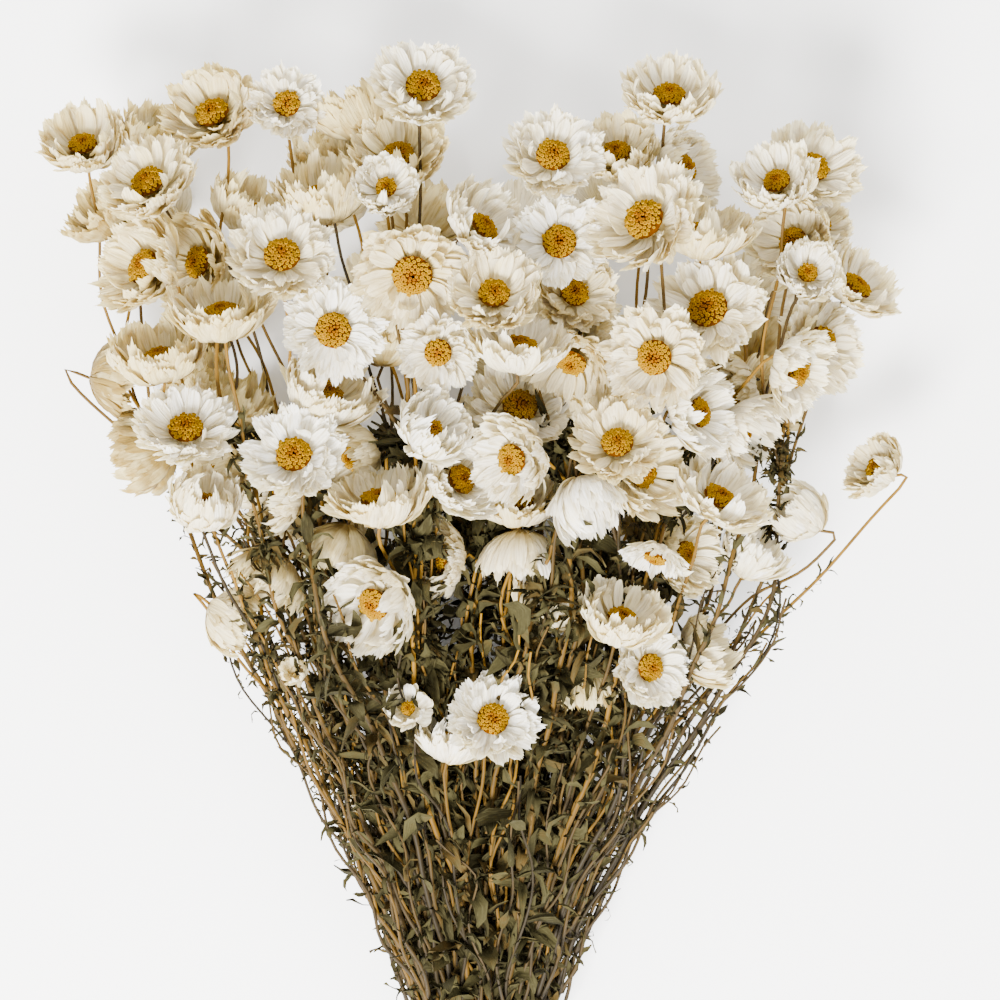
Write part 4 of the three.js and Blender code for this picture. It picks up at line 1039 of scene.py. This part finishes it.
bracts, discs, stems, leaves = bract_material(), disc_material(), stem_material(), leaf_material()


def stem_tone(path, rng):
    """Colour value along a stem: dark and olive low down, golden near the heads; the dark low down is partly
    the stems' own colour and partly painted shade deep in the bunch.
    """
    return smooth((path[:, 1] - 40) / 170) * 0.5 + rng.normal(0.16, 0.27)


def add_stem(piece, points, radii, rng, waver, sides=5):
    """A thin dry stem through points, a little wavy, darker towards its cut end, partly as painted shade low
    in the bunch.
    """
    path = smooth_path(points, STEP)
    _, right, front = frames_along(path)
    gone = STEP * np.arange(len(path))
    held = smooth(np.minimum(gone, gone[-1] - gone) / 14)
    a, b = rng.uniform(0, FULL_TURN, 2)
    path = path + right * (waver * held * np.sin(gone / rng.uniform(5, 9) + a))[:, None]
    path = path + front * (waver * held * np.sin(gone / rng.uniform(5, 9) + b))[:, None]
    share = np.linspace(0, 1, len(path))
    add_tube(piece, path, mix(radii[0], radii[1], smooth((share - 0.45) / 0.5)), sides,
             height=np.repeat(stem_tone(path, rng), sides + 1))
    return path


def beside(stem, rng, last):
    """Points of a thin side shoot that runs beside a stem and leaves it a little near its end."""
    path = smooth_path(stem, 14)
    path = path[path[:, 1] < last]
    _, right, front = frames_along(path)
    turn = rng.uniform(0, FULL_TURN) + np.cumsum(rng.normal(0, 0.5, len(path)))
    away = rng.uniform(1.5, 2.6) + np.linspace(0, 1, len(path)) ** 3 * rng.uniform(2, 7)
    away = away * mix(0.55, 1, smooth(path[:, 1] / 40))
    return path + (right * np.cos(turn)[:, None] + front * np.sin(turn)[:, None]) * away[:, None]


for name, members in sorted(groups.items()):
    petal_piece = Piece(["tone", "along", "lay"])
    disc_piece = Piece(["age", "top", "chance"])
    stem_piece = Piece(["height"])
    leaf_piece = Piece(["lay", "along", "chance"])
    for spray, parts in members:
        rng = np.random.default_rng(900 + spray)
        for head in sprays[spray]:
            add_bracts(petal_piece, head)
            add_disc(disc_piece, head)
        stem = add_stem(stem_piece, parts.stem, (STEM, STALK), rng, 0.5)
        top = min(LEAF_TOP, parts.lead.at[1] - LEAF_FREE)
        add_leaves(leaf_piece, stem, rng, -40, top, 2.6, LEAF_LENGTH)
        for head, path in parts.stalks:
            stalk = add_stem(stem_piece, path, (STALK, STALK), rng, 0.9)
            top = min(LEAF_TOP, head.at[1] - LEAF_FREE)
            add_leaves(leaf_piece, stalk, rng, 60, top, 3.2, STALK_LEAF_LENGTH)
        for _ in range(SHOOTS):
            end = min(parts.lead.at[1] - LEAF_FREE, rng.uniform(100, 190))
            shoot = add_stem(stem_piece, beside(parts.stem, rng, end), SHOOT, rng, 1.4, 4)
            add_leaves(leaf_piece, shoot, rng, -20, end, 7.5, LEAF_LENGTH)
    petal_piece.make(name + "_bracts", bracts, [name])
    if disc_piece.count:
        disc_piece.make(name + "_discs", discs, [name])
    stem_piece.make(name + "_stems", stems, [name])
    leaf_piece.make(name + "_leaves", leaves, [name])

# The tie: turns of two-ply twine where the solid band lies.
twine_piece = Piece(["height"])
band = SimpleNamespace(wide=TIE_HALF_WIDTH + STEM_RADIUS + 2 * CLEARANCE + BAND_THICKNESS / 2,
                       deep=TIE_HALF_DEPTH + STEM_RADIUS + 2 * CLEARANCE + BAND_THICKNESS / 2)
t = np.linspace(0, 1, TURNS * TURN_POINTS)
round_it = 2 * math.pi * TURNS * t + TWINE_START
core = np.stack([band.wide * np.cos(round_it), (t - 0.5) * TWINE_WIDTH,
                 middle(0) + band.deep * np.sin(round_it)], 1)
_, right, front = frames_along(core)
for ply in (0, math.pi):
    lay_turn = 2 * math.pi * TURNS * TWISTS * t + ply
    strand = core + right * (PLY_OFFSET * np.cos(lay_turn))[:, None]
    strand = strand + front * (PLY_OFFSET * np.sin(lay_turn))[:, None]
    add_tube(twine_piece, strand, np.full(len(strand), PLY), 6, height=0)
twine_piece.make("tie_twine", twine_material(), ["tie"])

# Floor, light and camera.
bpy.ops.mesh.primitive_plane_add(size=6, location=(0, 0, -0.0002))
floor = bpy.context.object
floor.name = "floor"
floor.data.materials.append(floor_material())

world = bpy.data.worlds.new("studio")
bpy.context.scene.world = world
world.use_nodes = True
sky = world.node_tree.nodes["Background"].inputs
sky["Color"].default_value = (1, 1, 1, 1)
sky["Strength"].default_value = 2.3


def add_light(name, place, aim, size, power, color):
    lamp = bpy.data.lights.new(name, "AREA")
    lamp.size = size
    lamp.energy = power
    lamp.color = color
    made = bpy.data.objects.new(name, lamp)
    bpy.context.scene.collection.objects.link(made)
    made.location = place
    made.rotation_euler = (Vector(aim) - Vector(place)).to_track_quat("-Z", "Y").to_euler()


CROWN = ((SHIFT + np.array([0, 200, 60])) * MM).tolist()
add_light("key", (-0.35, -0.75, 1.25), CROWN, 0.55, 135, (1.0, 0.99, 0.97))
add_light("fill", (0.9, 0.5, 1.3), CROWN, 1.2, 10, (1.0, 0.96, 0.9))

camera_data = bpy.data.cameras.new("camera")
camera = bpy.data.objects.new("camera", camera_data)
bpy.context.scene.collection.objects.link(camera)
bpy.context.scene.camera = camera
camera.location = Vector((EYE + SHIFT) * MM)
camera.rotation_euler = (0, 0, 0)
camera_data.sensor_width = 36
camera_data.lens = 36 * (EYE[2] - READ_HEIGHT) / (2 * FRAME_CENTRE * PIXEL)
camera_data.clip_start = 0.05
